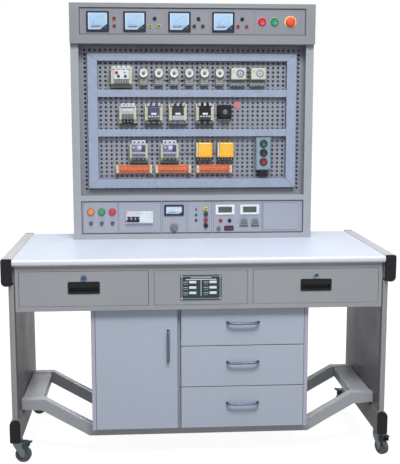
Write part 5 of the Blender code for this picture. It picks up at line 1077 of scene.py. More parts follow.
def make_hutch():
    case = softened("hutch_case", CASE_PAINT, 0.0008)
    case.repaint(HEAD_PAINT, lambda centre, normal: centre.z > 1.7425)
    case.piece("upper_case_shell", replaces=["hutch_case"])
    head = Shape(PLATED)
    head.turned((0, 0, 0), [(0.0038, 0), (0.0036, 0.0007), (0.0020, 0.0012), (0, 0.0013)], 12)
    places = [(x, 0.3736, z) for z in (0.885, 1.05, 1.22, 1.39, 1.56, 1.73, 1.905)
              for x in (-0.535, -0.27, 0.0, 0.27, 0.535)]
    head.moved(Matrix.Rotation(math.pi, 4, "Z"))
    at_spots("rear_panel_screws", head, places)


def make_head_panel():
    low, high = BOX["head_panel"]
    panel = Shape(HEAD_PANEL_PAINT)
    panel.block((low[0], HEAD_Y, low[2]), (high[0], HEAD_Y + 0.003, high[2]))
    # Painted shadow: a dark line round the panel's edge, standing for the shaded gap to the case's window.
    panel.use(GAP_SHADE)
    thin_frame(panel, -HEAD_HALF, HEAD_HALF, HEAD_FOOT, HEAD_FOOT + HEAD_TALL, HEAD_Y, GAP_SHADOW_WIDTH)
    panel.use(LINE_INK)
    for start, end in HEAD_GROUPS:
        thin_frame(panel, start * HEAD_HALF, end * HEAD_HALF, 1.7865, 1.8955, HEAD_Y)
    for share in METER_SHARES:
        x, z = head_at(share, 0.49)
        meter(panel, x, z, 0.100, 0.088, HEAD_Y, 0.008, 0.003, (0.0078, 0.0090, 0.0062), DIAL_BLUE,
              DIAL_MARGIN, (0.38, 0.34))
    for x_share, z_share, colour in HEAD_JACKS:
        x, z = head_at(x_share, z_share)
        banana_jack(panel, x, HEAD_Y, z, 0.0085, 0.006, JACK_RINGS[colour])
    for share, finish in ((0.609, RED_GLOSS), (0.720, GREEN_GLOSS)):
        x, z = head_at(share, 0.508)
        panel.use(finish).turned((x, HEAD_Y, z), [
            (0.0196, -0.0005), (0.0196, 0.0030), (0.0188, 0.0052), (0.0176, 0.0060), (0.0160, 0.0058),
            (0.0151, 0.0048), (0.0151, -0.0110), (0.0181, -0.0110), (0.0181, -0.0005)], 40, closed=True)
        panel.use(LILAC_PLASTIC).turned((x, HEAD_Y, z),
                                        [(0.0190, -0.0005), (0.0206, -0.0005), (0.0206, 0.0012),
                                         (0.0190, 0.0016)], 40, closed=True)
    x, z = head_at(0.862, 0.508)
    panel.use(YELLOW_RING).turned((x, HEAD_Y, z), [(0.0111, -0.0005), (0.0270, -0.0005), (0.0270, 0.0011),
                                                   (0.0263, 0.0018), (0.0111, 0.0018)], 48, closed=True)
    panel.piece("meter_panel", replaces=["head_panel"])
    for node, finish in (("stop_button", RED_GLOSS), ("start_button", GREEN_GLOSS)):
        push_cap(node, finish, 0.0145)
    mushroom(x, z)


def push_cap(node, finish, radius):
    """A push button's cap with a rolled rim and a slightly hollow face."""
    low, high = BOX[node]
    x, z = middle_of(node)
    cap = Shape(finish)
    length = high[1] - low[1]
    cap.turned((x, high[1], z), [(0, 0), (radius * 0.96, 0), (radius * 0.98, length - 0.0024),
                                 (radius * 0.94, length - 0.0010), (radius * 0.84, length - 0.0001),
                                 (radius * 0.74, length - 0.0004), (radius * 0.60, length - 0.0010),
                                 (radius * 0.30, length - 0.0014), (0, length - 0.0015)], 40)
    cap.piece(node + "_cap", node, [node])


def mushroom(x, z):
    low, high = BOX["estop_button"]
    under = low[1] + 0.0098
    head = Shape(STOP_ORANGE)
    profile = [(0, 0), (0.0195, 0), (0.0212, 0.0010), (0.0215, 0.0028), (0.0210, 0.0048), (0.0196, 0.0069),
               (0.0172, 0.0086), (0.0140, 0.0095), (0.0080, 0.0097), (0, 0.0098)]
    head.turned((x, under, z), profile, 48)
    head.turned((x, high[1], z),
                [(0, 0), (0.0103, 0), (0.0103, high[1] - under + 0.001), (0, high[1] - under + 0.001)], 28)
    head.piece("mushroom_head", "estop_button", ["estop_button"])


def make_board():
    """A perforated sheet: one cell with a round hole, grown into columns and rows, in a plain margin."""
    low, high = BOX["perforated_board"]
    half_x, half_z = HOLE_STEP_X / 2, HOLE_STEP_Z / 2
    centre = (-(HOLE_COLUMNS // 2) * HOLE_STEP_X, BOARD_MIDDLE_Z - HOLE_ROWS // 2 * HOLE_STEP_Z)
    square, hole = [], []
    for across, up in ((1, 1), (1 / 3, 1), (-1 / 3, 1), (-1, 1), (-1, 1 / 3), (-1, -1 / 3), (-1, -1),
                       (-1 / 3, -1), (1 / 3, -1), (1, -1), (1, -1 / 3), (1, 1 / 3)):
        turn = math.pi * (3 + 2 * len(hole)) / 12
        square.append((centre[0] + across * half_x, centre[1] + up * half_z))
        hole.append((centre[0] + HOLE_RADIUS * math.cos(turn), centre[1] + HOLE_RADIUS * math.sin(turn)))
    cell = Shape(BOARD_PAINT).hoop("Y", square, hole, high[1], low[1])
    outer = [face for face in cell.mesh.faces if max(abs(face.normal.x), abs(face.normal.z)) > 0.5
             and (Vector((face.calc_center_median().x - centre[0], 0,
                          face.calc_center_median().z - centre[1])).length > 0.0085)]
    bmesh.ops.delete(cell.mesh, geom=outer, context="FACES")
    inputs = {"Columns": HOLE_COLUMNS, "Rows": HOLE_ROWS, "Column Step": (HOLE_STEP_X, 0.0, 0.0),
              "Row Step": (0.0, 0.0, HOLE_STEP_Z)}
    grown("perforated_sheet", cell, SHEET, inputs, replaces=["perforated_board"], smooth=50)
    x = HOLE_COLUMNS * half_x
    z0, z1 = BOARD_MIDDLE_Z - HOLE_ROWS * half_z, BOARD_MIDDLE_Z + HOLE_ROWS * half_z
    margin = Shape(BOARD_PAINT)
    margin.hoop("Y", [(low[0], low[2]), (high[0], low[2]), (high[0], high[2]), (low[0], high[2])],
                [(-x, z0), (x, z0), (x, z1), (-x, z1)], high[1], low[1])
    margin.piece("board_margin")


def make_duct():
    """Mitred duct covers over slotted side walls on a base channel."""
    low, high = BOX["wiring_duct"]
    x0, x1, z0, z1 = low[0], high[0], low[2], high[2]
    side, top, foot, gap = 0.044, 0.033, 0.042, 0.0004
    inner = (x0 + side, x1 - side, z0 + foot, z1 - top)
    levels = [z0 + share * DUCT_TALL for share in (0.415, 0.708)]
    cover = Shape(DUCT_COVER)
    back, front = low[1] + 0.0075, low[1]
    outlines = [
        [(x0, z0 + gap), (x0, z1 - gap), (inner[0], inner[3] - gap), (inner[0], inner[2] + gap)],
        [(x1, z0 + gap), (x1, z1 - gap), (inner[1], inner[3] - gap), (inner[1], inner[2] + gap)],
        [(x0 + gap, z1), (x1 - gap, z1), (inner[1] - gap, inner[3]), (inner[0] + gap, inner[3])],
        [(x0 + gap, z0), (x1 - gap, z0), (inner[1] - gap, inner[2]), (inner[0] + gap, inner[2])]]
    for outline in outlines:
        cover.slab("Y", outline, back, front, 0.0009)
    for level in levels:
        cover.slab("Y",
                   [(inner[0] + gap, level - 0.0165), (inner[1] - gap, level - 0.0165),
                    (inner[1] - gap, level + 0.0165), (inner[0] + gap, level + 0.0165)], back, front, 0.0009)
    cover.piece("duct_covers", replaces=["wiring_duct"])
    base = Shape(DUCT_WALL)
    floor = high[1] - 0.0015
    for outline in outlines:
        base.slab("Y", outline, floor, high[1])
    for level in levels:
        base.slab("Y", [(inner[0], level - 0.0155), (inner[1], level - 0.0155), (inner[1], level + 0.0155),
                        (inner[0], level + 0.0155)], floor, high[1])
    base.piece("duct_base")
    runs = [("level", x0, x1, z1 - 0.001), ("level", x0, x1, z0 + 0.001), ("upright", z0, z1, x0 + 0.001),
            ("upright", z0, z1, x1 - 0.001)]
    for edge in (inner[3], inner[2], levels[0] - 0.0155, levels[0] + 0.0155, levels[1] - 0.0155,
                 levels[1] + 0.0155):
        runs.append(("level", inner[0], inner[1], edge))
    for edge in inner[:2]:
        for start, end in ((inner[2], levels[0] - 0.0155), (levels[0] + 0.0155, levels[1] - 0.0155),
                           (levels[1] + 0.0155, inner[3])):
            runs.append(("upright", start, end, edge))
    for number, (way, start, end, place) in enumerate(runs):
        slotted_wall("duct_wall_%02d" % number, way, start, end, place, back, floor)


def slotted_wall(name, way, start, end, place, front, back):
    """A comb of fingers between the duct's base and its cover, along one edge of a run."""
    pitch, finger, thick = 0.0125, 0.0078, 0.0012
    count = int((end - start) / pitch)
    first = (start + end) / 2 - (count - 1) * pitch / 2
    tooth = Shape(DUCT_WALL)
    if way == "level":
        tooth.block((first - finger / 2, front - 0.0005, place - thick / 2),
                    (first + finger / 2, back + 0.0005, place + thick / 2))
        step = (pitch, 0.0, 0.0)
    else:
        tooth.block((place - thick / 2, front - 0.0005, first - finger / 2),
                    (place + thick / 2, back + 0.0005, first + finger / 2))
        step = (0.0, 0.0, pitch)
    row_of(name, tooth, count, step)


# Devices on the board

# The board's face and half the clear width between the ducts
BACK = 0.2347
CLEAR_HALF = 0.434
ROWS = {label: DUCT_FOOT + share * DUCT_TALL
        for label, share in (("upper", 0.828), ("middle", 0.557), ("lower", 0.275))}
TERMINALS = 11
TERMINAL_PITCH = 0.0118


class Device(Shape):
    """A device on the board. Its blocks are given about its own middle, with depths off the board."""

    def at(self, x, z):
        self.x, self.z = x, z
        return self

    def lump(self, x0, x1, z0, z1, deep, near=0.0015, edge=0.0012, segments=2):
        return self.block((self.x + x0, BACK - deep, self.z + z0), (self.x + x1, BACK - near, self.z + z1),
                          edge, segments)

    def round(self, x, z, radius, near, deep, sides=28, bevel=0.0008):
        length = deep - near
        return self.turned((self.x + x, BACK - near, self.z + z),
                           [(0, 0), (radius, 0), (radius, length - bevel), (radius - bevel, length),
                            (0, length)], sides)

    def screw(self, x, z, deep, radius=0.0032, metal_paint=None):
        self.use(metal_paint or PLATED).round(x, z, radius, deep - 0.0015, deep + 0.0008, 14, 0.0004)
        self.use(BLACK_MATT).lump(x - radius * 0.8, x + radius * 0.8, z - 0.0004, z + 0.0004, deep + 0.0010,
                                  deep, 0)
        return self


def mounting_rail(device, x0, x1, z):
    """A slim bar that the devices clip on, with a groove along it."""
    device.use(BOARD_PAINT)
    for low, high, deep in ((-0.0045, -0.0015, 0.0075), (0.0015, 0.0045, 0.0075), (-0.0020, 0.0020, 0.0060)):
        device.block((x0, BACK - deep, z + low), (x1, BACK, z + high))


def motor_starter(device, x, z):
    device.at(x, z)
    device.use(CREAM_PLASTIC).lump(-0.049, 0.049, -0.036, 0.046, 0.034)
    device.use(OLIVE_DARK).lump(-0.049, 0.049, -0.050, -0.034, 0.034)
    for outer, inner in both_sides(0.0475, 0.0345):
        device.use(CREAM_PLASTIC).lump(outer, inner, -0.0302, 0.0302, 0.052)
    device.use(PALE_PLASTIC).lump(-0.0340, 0.0340, -0.0110, 0.0304, 0.056, edge=0.002)
    device.use(SLATE_PLASTIC).lump(-0.0340, 0.0340, -0.0304, -0.0115, 0.0540, edge=0.002)
    for tooth in range(4):
        centre = -0.0330 + 0.0220 * tooth
        device.use(PALE_PLASTIC).lump(centre - 0.0072, centre + 0.0072, 0.034, 0.0498, 0.046, edge=0.001)
        device.screw(centre, 0.042, 0.046)
    for rib in range(6):
        centre = -0.0300 + 0.0120 * rib
        device.use(SOCKET_GREY).lump(centre - 0.0026, centre + 0.0026, -0.0290, -0.0130, 0.0556,
                                     0.05, 0.0005)
    for tooth in range(6):
        centre = -0.0400 + 0.0160 * tooth
        device.use(SLATE_PLASTIC).lump(centre - 0.0055, centre + 0.0055, -0.0485, -0.0375, 0.038, edge=0.001)
    device.use(TAG_RED).round(-0.0215, 0.0175, 0.0090, 0.050, 0.0575)
    device.use(DARK_PLASTIC).round(-0.0215, 0.0185, 0.0052, 0.050, 0.0595)
    device.use(SLATE_PLASTIC).lump(0.0100, 0.0210, 0.0175, 0.0215, 0.0572, 0.05, 0.0006)
    for dial_x in (-0.0130, 0.0180):
        device.use(DARK_PLASTIC).round(dial_x, 0.0020, 0.0070, 0.052, 0.0575)
        device.use(SOCKET_GREY).lump(dial_x - 0.0007, dial_x + 0.0007, 0.0020, 0.0080, 0.0579, 0.057, 0)


def screw_fuse(device, x, z):
    device.at(x, z)
    device.use(FUSE_BODY).lump(-0.018, 0.018, -0.0250, 0.040, 0.030, edge=0.002)
    device.use(SOCKET_GREY).lump(-0.018, 0.018, -0.0330, -0.0255, 0.029, edge=0.001)
    device.use(SLATE_PLASTIC).lump(-0.018, 0.018, -0.040, -0.0325, 0.027, edge=0.001)
    for side in (-0.0095, 0.0095):
        device.screw(side, -0.0290, 0.029, 0.0028)
    device.use(OLIVE_PLASTIC).lump(-0.0060, 0.0060, -0.0180, -0.0100, 0.031, edge=0.001)
    lift = 0.016
    device.use(CERAMIC).turned((x, BACK - 0.008, z + lift), [
        (0, 0), (0.0175, 0), (0.0185, 0.018), (0.0195, 0.024), (0.0195, 0.036), (0.0188, 0.041),
        (0.0168, 0.0438), (0.0140, 0.0438), (0.0122, 0.0425), (0.0108, 0.0395), (0, 0.0392)], 32)
    device.use(PALE_GREY).turned((x, BACK - 0.047, z + lift),
                                 [(0.0106, 0), (0.0104, 0.0010), (0.0095, 0.0014), (0, 0.0014)], 24)
    device.use(SLATE_PLASTIC).turned((x, BACK - 0.0484, z + lift), [(0.0066, -0.0005), (0.0062, 0.0012),
                                                                    (0.0040, 0.0018), (0, 0.0018)], 20)


def timer(device, x, z, dial):
    device.at(x, z)
    device.use(OLIVE_PLASTIC).lump(-0.0355, 0.0355, -0.0210, 0.0425, 0.026, edge=0.0015)
    device.use(SOCKET_GREY).lump(-0.0355, 0.0355, -0.0425, -0.0205, 0.030, edge=0.0015)
    for place in (-0.024, -0.008, 0.008, 0.024):
        device.screw(place, -0.0300, 0.030)
        device.use(DARK_PLASTIC).lump(place - 0.0050, place + 0.0050, -0.0415, -0.0365, 0.0304,
                                      0.029, 0.0003)
    device.use(CREAM_PLASTIC).lump(-0.0345, 0.0345, -0.0120, 0.0410, 0.062, edge=0.0035, segments=3)
    device.use(PALE_CREAM).lump(-0.0305, 0.0305, -0.0080, 0.0370, 0.0622, 0.055, 0.0002)
    device.use(OLIVE_PLASTIC).lump(-0.0335, 0.0335, -0.0122, -0.0100, 0.0585, 0.03, 0.0003)
    device.use(dial).round(0.0070, 0.0150, 0.0185, 0.060, 0.0630, 40)
    device.use(PALE_CREAM).round(0.0070, 0.0150, 0.0105, 0.060, 0.0634, 36)
    device.use(dial).round(0.0070, 0.0150, 0.0045, 0.060, 0.0655, 24)
    for up, length in ((0.0262, 0.0110), (0.0212, 0.0080)):
        device.use(LINE_INK).lump(-0.0265, -0.0265 + length, up - 0.0006, up + 0.0006, 0.0624, 0.06, 0)


def plug_relay(device, x, z):
    device.at(x, z)
    device.use(CREAM_PLASTIC).lump(-0.040, 0.040, -0.0425, 0.034, 0.028, edge=0.0015)
    device.use(DARK_PLASTIC).lump(-0.0395, 0.0395, -0.0470, -0.0430, 0.027, edge=0.001)
    device.use(DARK_PLASTIC).lump(-0.0265, 0.0265, -0.0430, -0.0255, 0.0300, edge=0.001)
    device.use(LILAC_PLASTIC).lump(-0.033, 0.033, 0.030, 0.047, 0.040, edge=0.001)
    for notch in (-0.016, 0.0, 0.016):
        device.use(DARK_PLASTIC).lump(notch - 0.0028, notch + 0.0028, 0.0370, 0.0420, 0.0404, 0.03, 0)
        device.screw(notch, -0.0340, 0.0305, 0.0028)
    device.use(CREAM_PLASTIC).lump(-0.0385, 0.0385, -0.0259, 0.0259, 0.044, edge=0.002)
    device.use(PALE_GREY).lump(-0.0265, 0.0265, -0.0030, 0.0259, 0.052, edge=0.002)
    device.use(SLATE_PLASTIC).lump(-0.0265, 0.0265, -0.0259, -0.0035, 0.0505, edge=0.002)
    for rib in (-0.0150, 0.0, 0.0150):
        device.use(SOCKET_GREY).lump(rib - 0.0012, rib + 0.0012, -0.0235, -0.0060, 0.0510, 0.05, 0.0003)
    device.use(LILAC_PLASTIC).lump(-0.0235, 0.0235, 0.0130, 0.0225, 0.0523, 0.05, 0.0001)


def contactor(device, x, z, core, foot):
    """A contactor whose core and foot have their own finishes, with white teeth and a white tab."""
    device.at(x, z)
    device.use(OLIVE_DARK).lump(-0.042, 0.042, -0.048, -0.026, 0.028, edge=0.0012)
    device.use(CREAM_PLASTIC).lump(-0.042, 0.042, -0.040, 0.046, 0.030, edge=0.0012)
    for outer, inner in both_sides(0.0405, 0.0262):
        device.use(CREAM_PLASTIC).lump(outer, inner, -0.0297, 0.0297, 0.045, edge=0.0018)
    device.use(core).lump(-0.0260, 0.0260, -0.0070, 0.0282, 0.060, edge=0.0022)
    device.use(core).lump(-0.0330, 0.0330, 0.0290, 0.0470, 0.0400, edge=0.0010)
    device.use(foot).lump(-0.0260, 0.0260, -0.0282, -0.0075, 0.0575, edge=0.0022)
    device.use(foot).lump(-0.0330, 0.0330, -0.0460, -0.0290, 0.0310, edge=0.0010)
    device.use(WHITE_PLASTIC).lump(-0.0120, 0.0120, -0.0040, 0.0040, 0.0606, 0.05, 0.0002)
    for tooth in range(3):
        centre = -0.0252 + 0.0252 * tooth
        device.use(LILAC_PLASTIC).lump(centre - 0.0058, centre + 0.0058, 0.0350, 0.0470, 0.0440, edge=0.0012)
        device.screw(centre, 0.0400, 0.0440, 0.0026)
        device.use(SLATE_PLASTIC).lump(centre - 0.0070, centre + 0.0070, -0.0450, -0.0330,
                                       0.0325, edge=0.001)
        device.screw(centre, -0.0395, 0.0325)
    for tooth in range(4):
        centre = -0.0195 + 0.0130 * tooth
        device.use(LILAC_PLASTIC).lump(centre - 0.0042, centre + 0.0042, -0.0150, -0.0085, 0.0582,
                                       0.05, 0.0008)


def round_device(device, x, z):
    device.at(x, z)
    device.use(PALE_CREAM).lump(-0.0300, 0.0300, -0.0365, 0.0340, 0.010, 0.002, 0.003)
    device.use(BLACK_CAP).lump(-0.0335, 0.0335, -0.0335, 0.0335, 0.014, 0.002, 0.004)
    device.use(BLACK_CAP).turned((x, BACK - 0.010, z), [
        (0, 0), (0.0320, 0), (0.0320, 0.033), (0.0312, 0.037), (0.0290, 0.0398), (0.0240, 0.0402),
        (0.0225, 0.0385), (0.0165, 0.0380), (0, 0.0380)], 44)
    device.use(SLATE_PLASTIC).turned((x, BACK - 0.048, z), [(0.0120, 0), (0.0120, 0.0085), (0.0112, 0.0098),
                                                            (0, 0.0100)], 28)
    device.use(PALE_GREY).lump(-0.0009, 0.0009, 0.0020, 0.0112, 0.0584, 0.05, 0)


def thermal_relay(device, x, z):
    device.at(x, z)
    device.use(CREAM_PLASTIC).lump(-0.042, 0.042, -0.041, 0.036, 0.028, edge=0.0015)
    device.use(OLIVE_DARK).lump(-0.042, 0.042, -0.052, -0.0400, 0.030, edge=0.0012)
    device.use(OLIVE_DARK).lump(-0.0300, 0.0300, -0.0405, -0.0280, 0.0300, edge=0.0012)
    device.use(LILAC_PLASTIC).lump(-0.032, 0.032, 0.0300, 0.0520, 0.042, edge=0.0015)
    for notch in (-0.0200, 0.0, 0.0200):
        device.use(DARK_PLASTIC).lump(notch - 0.0040, notch + 0.0040, 0.0390, 0.0460, 0.0424, 0.03, 0)
        device.screw(notch, -0.0340, 0.030)
    for outer, inner in both_sides(0.0410, 0.0300):
        device.use(CREAM_PLASTIC).lump(outer, inner, -0.0286, 0.0286, 0.044, edge=0.0015)
    device.use(DULL_BLUE).lump(-0.0300, 0.0100, -0.0005, 0.0286, 0.0545, edge=0.0022)
    device.use(NIGHT_BLUE).lump(0.0080, 0.0300, -0.0005, 0.0286, 0.0540, edge=0.0022)
    device.use(PALE_GREY).lump(-0.0300, 0.0300, -0.0095, -0.0005, 0.0535, edge=0.0012)
    device.use(SLATE_PLASTIC).lump(-0.0300, 0.0300, -0.0185, -0.0098, 0.0525, edge=0.0012)
    device.use(SOCKET_GREY).lump(-0.0300, 0.0300, -0.0286, -0.0188, 0.0530, edge=0.0012)
    device.use(LILAC_PLASTIC).lump(-0.0060, 0.0130, 0.0100, 0.0284, 0.056, 0.05, 0.0025)
    for rib in range(4):
        centre = -0.0195 + 0.0130 * rib
        device.use(DARK_PLASTIC).lump(centre - 0.0030, centre + 0.0030, -0.0260, -0.0215, 0.0534,
                                      0.05, 0.0003)
    device.use(RED_DARK).round(-0.0220, 0.0080, 0.0030, 0.050, 0.0575)
    device.use(LILAC_PLASTIC).round(-0.0220, 0.0200, 0.0040, 0.050, 0.0565)


def amber_relay(device, x, z):
    device.at(x, z)
    device.use(DARK_PLASTIC).lump(-0.038, 0.038, -0.042, -0.0280, 0.034, edge=0.001)
    device.use(OLIVE_PLASTIC).lump(-0.038, 0.038, -0.029, 0.042, 0.022, edge=0.0015)
    for pin in range(5):
        device.screw(-0.028 + 0.014 * pin, -0.0355, 0.034, 0.0028)
    device.use(AMBER_PLASTIC).lump(-0.0290, 0.0375, -0.0270, 0.0410, 0.058, edge=0.0060, segments=4)
    device.use(PALE_CREAM).lump(-0.0375, -0.0270, -0.0265, 0.0405, 0.0500, edge=0.0035, segments=3)
    device.use(AMBER_DARK).lump(-0.0200, 0.0290, -0.0180, 0.0320, 0.0583, 0.05, 0.0002)
    device.use(AMBER_PLASTIC).lump(-0.0185, 0.0275, -0.0165, 0.0305, 0.0585, 0.05, 0.0002)


def terminal_strip(device, x, z, label):
    """Cream end blocks with a run of terminal modules between them."""
    device.at(x, z)
    for side, end, last in zip((-1, 1), both_sides(0.083, 0.0715), both_sides(0.0712, 0.0655)):
        device.use(TERMINAL_CREAM).lump(*end, -0.0178, 0.0178, 0.036, edge=0.002)
        device.screw(side * 0.0772, 0.0, 0.036, 0.0028)
        device.use(TERMINAL_ORANGE).lump(*last, -0.0178, 0.0178, 0.0355, edge=0.001)
    module = Device(TERMINAL_ORANGE).at(x, z)
    module.lump(-0.0648, -0.0532, -0.0185, 0.0185, 0.024, 0.0, 0.0008)
    module.lump(-0.0648, -0.0532, -0.0060, -0.0008, 0.030, 0.01, 0.0006)
    module.lump(-0.0648, -0.0532, 0.0008, 0.0060, 0.030, 0.01, 0.0006)
    module.lump(-0.0644, -0.0536, -0.0012, 0.0012, 0.0275, 0.01, 0.0)
    row_of("terminals_" + label, module, TERMINALS, (TERMINAL_PITCH, 0.0, 0.0))
    screw = Device(TERMINAL_SHADE).at(x, z)
    for up in (-0.0122, 0.0122):
        screw.round(-0.059, up, 0.0034, 0.022, 0.0252, 12, 0.0005)
    row_of("terminal_screws_" + label, screw, TERMINALS, (TERMINAL_PITCH, 0.0, 0.0))


def make_devices():
    upper = Device(CREAM_PLASTIC)
    mounting_rail(upper, -0.870 * CLEAR_HALF, 0.790 * CLEAR_HALF, ROWS["upper"] - 0.0069)
    motor_starter(upper, -0.7465 * CLEAR_HALF, ROWS["upper"])
    for index in range(6):
        screw_fuse(upper, (-0.516 + index * 0.15988) * CLEAR_HALF, ROWS["upper"])
    for share, dial in ((0.479, DULL_BLUE), (0.688, SOCKET_GREY)):
        timer(upper, share * CLEAR_HALF, ROWS["upper"], dial)
    upper.piece("devices_upper", replaces=["device_row_upper"])
    middle = Device(CREAM_PLASTIC)
    mounting_rail(middle, -0.800 * CLEAR_HALF, 0.400 * CLEAR_HALF, ROWS["middle"])
    plug_relay(middle, -0.6855 * CLEAR_HALF, ROWS["middle"])
    for share, core, foot in ((-0.412, NIGHT_BLUE, OLIVE_DARK), (-0.158, DARK_PLASTIC, PALE_GREY),
                              (0.1278, BLACK_MATT, DARK_PLASTIC)):
        contactor(middle, share * CLEAR_HALF, ROWS["middle"], core, foot)
    round_device(middle, 0.3394 * CLEAR_HALF, ROWS["middle"] + 0.008)
    middle.use(TAG_RED).at(0.2080, 1.4735).lump(-0.0120, 0.0120, -0.0150, 0.0150, 0.0034, 0.0, 0.0006)
    middle.piece("devices_middle", replaces=["device_row_middle"])
    lower = Device(CREAM_PLASTIC)
    mounting_rail(lower, -0.700 * CLEAR_HALF, 0.450 * CLEAR_HALF, ROWS["lower"] - 0.0051)
    for share in (-0.574, -0.2465):
        thermal_relay(lower, share * CLEAR_HALF, ROWS["lower"])
    for share in (0.1195, 0.3465):
        amber_relay(lower, share * CLEAR_HALF, ROWS["lower"])
    for label, share in zip(("left", "middle", "right"), (-0.624, -0.207, 0.230)):
        terminal_strip(lower, share * CLEAR_HALF, ROWS["lower"] - 0.081, label)
    for share in (-0.574, -0.2465, 0.3465):
        x = share * CLEAR_HALF
        lower.use(BOARD_PAINT).block((x - 0.006, BACK - 0.003, ROWS["lower"] - 0.081),
                                     (x + 0.006, BACK, ROWS["lower"]))
    lower.piece("devices_lower", replaces=["device_row_lower"])


def make_station():
    low, high = BOX["station_box"]
    x = middle_of("station_box")[0]
    face = BACK - 0.048
    foot = low[2] + 0.027
    box = Shape(STATION_SHELL)
    box.block((low[0], face, foot), (high[0], high[1], high[2]), 0.005, 4)
    box.use(BLACK_CAP).block((x - 0.020, face + 0.008, low[2]),
                             (x + 0.020, high[1] - 0.008, foot + 0.002), 0.003, 3)
    box.use(BLACK_MATT).hoop("Y",
                             rounded(low[0] + 0.0035, high[0] - 0.0035, foot + 0.0035, high[2] - 0.0035,
                                     0.004),
                             rounded(low[0] + 0.0043, high[0] - 0.0043, foot + 0.0043, high[2] - 0.0043,
                                     0.004), face + 0.0004, face - 0.0002)
    for level in ("upper", "middle", "lower"):
        height = middle_of("station_button_" + level)[1]
        box.use(DARK_PLASTIC).turned((x, face, height), [
            (0.0136, -0.006), (0.0181, -0.006), (0.0181, 0.0040), (0.0172, 0.0056), (0.0160, 0.0060),
            (0.0146, 0.0056), (0.0136, 0.0044)], 40, closed=True)
    box.piece("station_housing", replaces=["station_box"])
    for level, finish in (("upper", GREEN_DARK), ("middle", BLACK_GLOSS), ("lower", RED_DARK)):
        push_cap("station_button_" + level, finish, 0.0130)


# Control panel

PLATE_PROUD = 0.0015
POLES = (-0.0187, 0.0, 0.0187)
LEVER_X = -0.2771
LEVER_Z = 0.9523
ROCKER_X = 0.1665
ROCKER_Z = 0.9058


def disc(shape, material, x, z, face, proud, radius, sides=28, bevel=0.0008):
    shape.use(material)
    return shape.turned((x, face, z),
                        [(radius, -0.0005), (radius, proud - bevel), (radius - bevel, proud),
                         (0, proud)], sides)


def plate(shape, material, x, z, width, height, face, proud, radius=0.002, edge=0.0006):
    shape.use(material)
    return shape.slab("Y", rounded(x - width / 2, x + width / 2, z - height / 2, z + height / 2, radius),
                      face + 0.0005, face - proud, edge)


def indicator(shape, x, z, colour):
    """A signal lamp: a dark threaded collar and a ribbed coloured lens."""
    shape.use(SLATE_PLASTIC).turned((x, CONTROL_Y, z), [
        (0.0170, -0.0005), (0.0170, 0.0024), (0.0164, 0.0034), (0.0156, 0.0036), (0.0144, 0.0030),
        (0.0144, -0.0005)], 36, closed=True)
    shape.use(colour).turned((x, CONTROL_Y, z), [
        (0.0148, 0.0005), (0.0148, 0.0070), (0.0140, 0.0096), (0.0122, 0.0110), (0.0100, 0.0106),
        (0.0080, 0.0113), (0.0060, 0.0110), (0.0038, 0.0117), (0, 0.0120)], 36)


def fuse_holder(shape, x, z):
    shape.use(HOLDER_BROWN).turned((x, CONTROL_Y, z), [
        (0.0094, -0.0005), (0.0094, 0.0024), (0.0088, 0.0032), (0.0074, 0.0032), (0.0074, 0.0094),
        (0.0066, 0.0100), (0, 0.0100)], 28)
    shape.use(DARK_PLASTIC).turned((x, CONTROL_Y - 0.0099, z),
                                   [(0.0050, -0.0005), (0.0048, 0.0002), (0, 0.0002)], 20)
    shape.use(PALE_GREY).block((x - 0.0034, CONTROL_Y - 0.0104, z - 0.0004),
                               (x + 0.0034, CONTROL_Y - 0.0098, z + 0.0004))


def terminal_post(shape, x, z, colour):
    """A screw terminal: a collar, a fluted cap and a socket in its end."""
    shape.use(colour)
    shape.turned((x, CONTROL_Y, z), [(0.0105, -0.0005), (0.0105, 0.0028), (0.0097, 0.0036), (0.0060, 0.0036),
                                     (0.0060, 0.0050), (0.0090, 0.0054), (0.0094, 0.0066), (0.0094, 0.0126),
                                     (0.0084, 0.0138), (0.0050, 0.0140), (0.0040, 0.0132), (0, 0.0130)], 28)
    for step in range(12):
        angle = 2 * math.pi * step / 12
        rx, rz = x + 0.0092 * math.cos(angle), z + 0.0092 * math.sin(angle)
        shape.turned((rx, CONTROL_Y - 0.0064, rz), [(0.0011, 0), (0.0011, 0.0060), (0, 0.0064)], 6)
    shape.use(BLACK_MATT).turned((x, CONTROL_Y - 0.0131, z),
                                 [(0.0038, -0.0005), (0.0038, 0.0001), (0, 0.0001)], 18)


def digit_display(shape, x, z):
    width, height, front = 0.088, 0.046, CONTROL_Y - 0.006
    half_x, half_z = width * 0.36, height * 0.30
    shape.use(WHITE_PLASTIC).hoop("Y",
                                  rounded(x - width / 2, x + width / 2, z - height / 2, z + height / 2,
                                          0.003),
                                  rounded(x - half_x, x + half_x, z - half_z, z + half_z, 0.001),
                                  CONTROL_Y + 0.0005, front, 0.0010)
    plate(shape, SCREEN, x, z, 2 * half_x + 0.0005, 2 * half_z + 0.0005, CONTROL_Y, 0.0040, 0.001, 0.0)
    shape.use(DISPLAY_BAR)
    for place in (-0.024, -0.0105, 0.003, 0.0165):
        seven_bars(shape, x + place + 0.004, z, front + 0.0019)


def seven_bars(shape, x, z, y):
    """A blank figure eight of seven bars, as an unlit display shows."""
    half, tall, thick = 0.0036, 0.0072, 0.0008
    for up in (-tall, 0.0, tall):
        shape.block((x - half + thick, y, z + up - thick / 2),
                    (x + half - thick, y + 0.0004, z + up + thick / 2))
    for side in (-half, half):
        for low in (-tall, 0.0):
            shape.block((x + side - thick / 2, y, z + low + thick), (x + side + thick / 2, y + 0.0004,
                                                                     z + low + tall - thick))


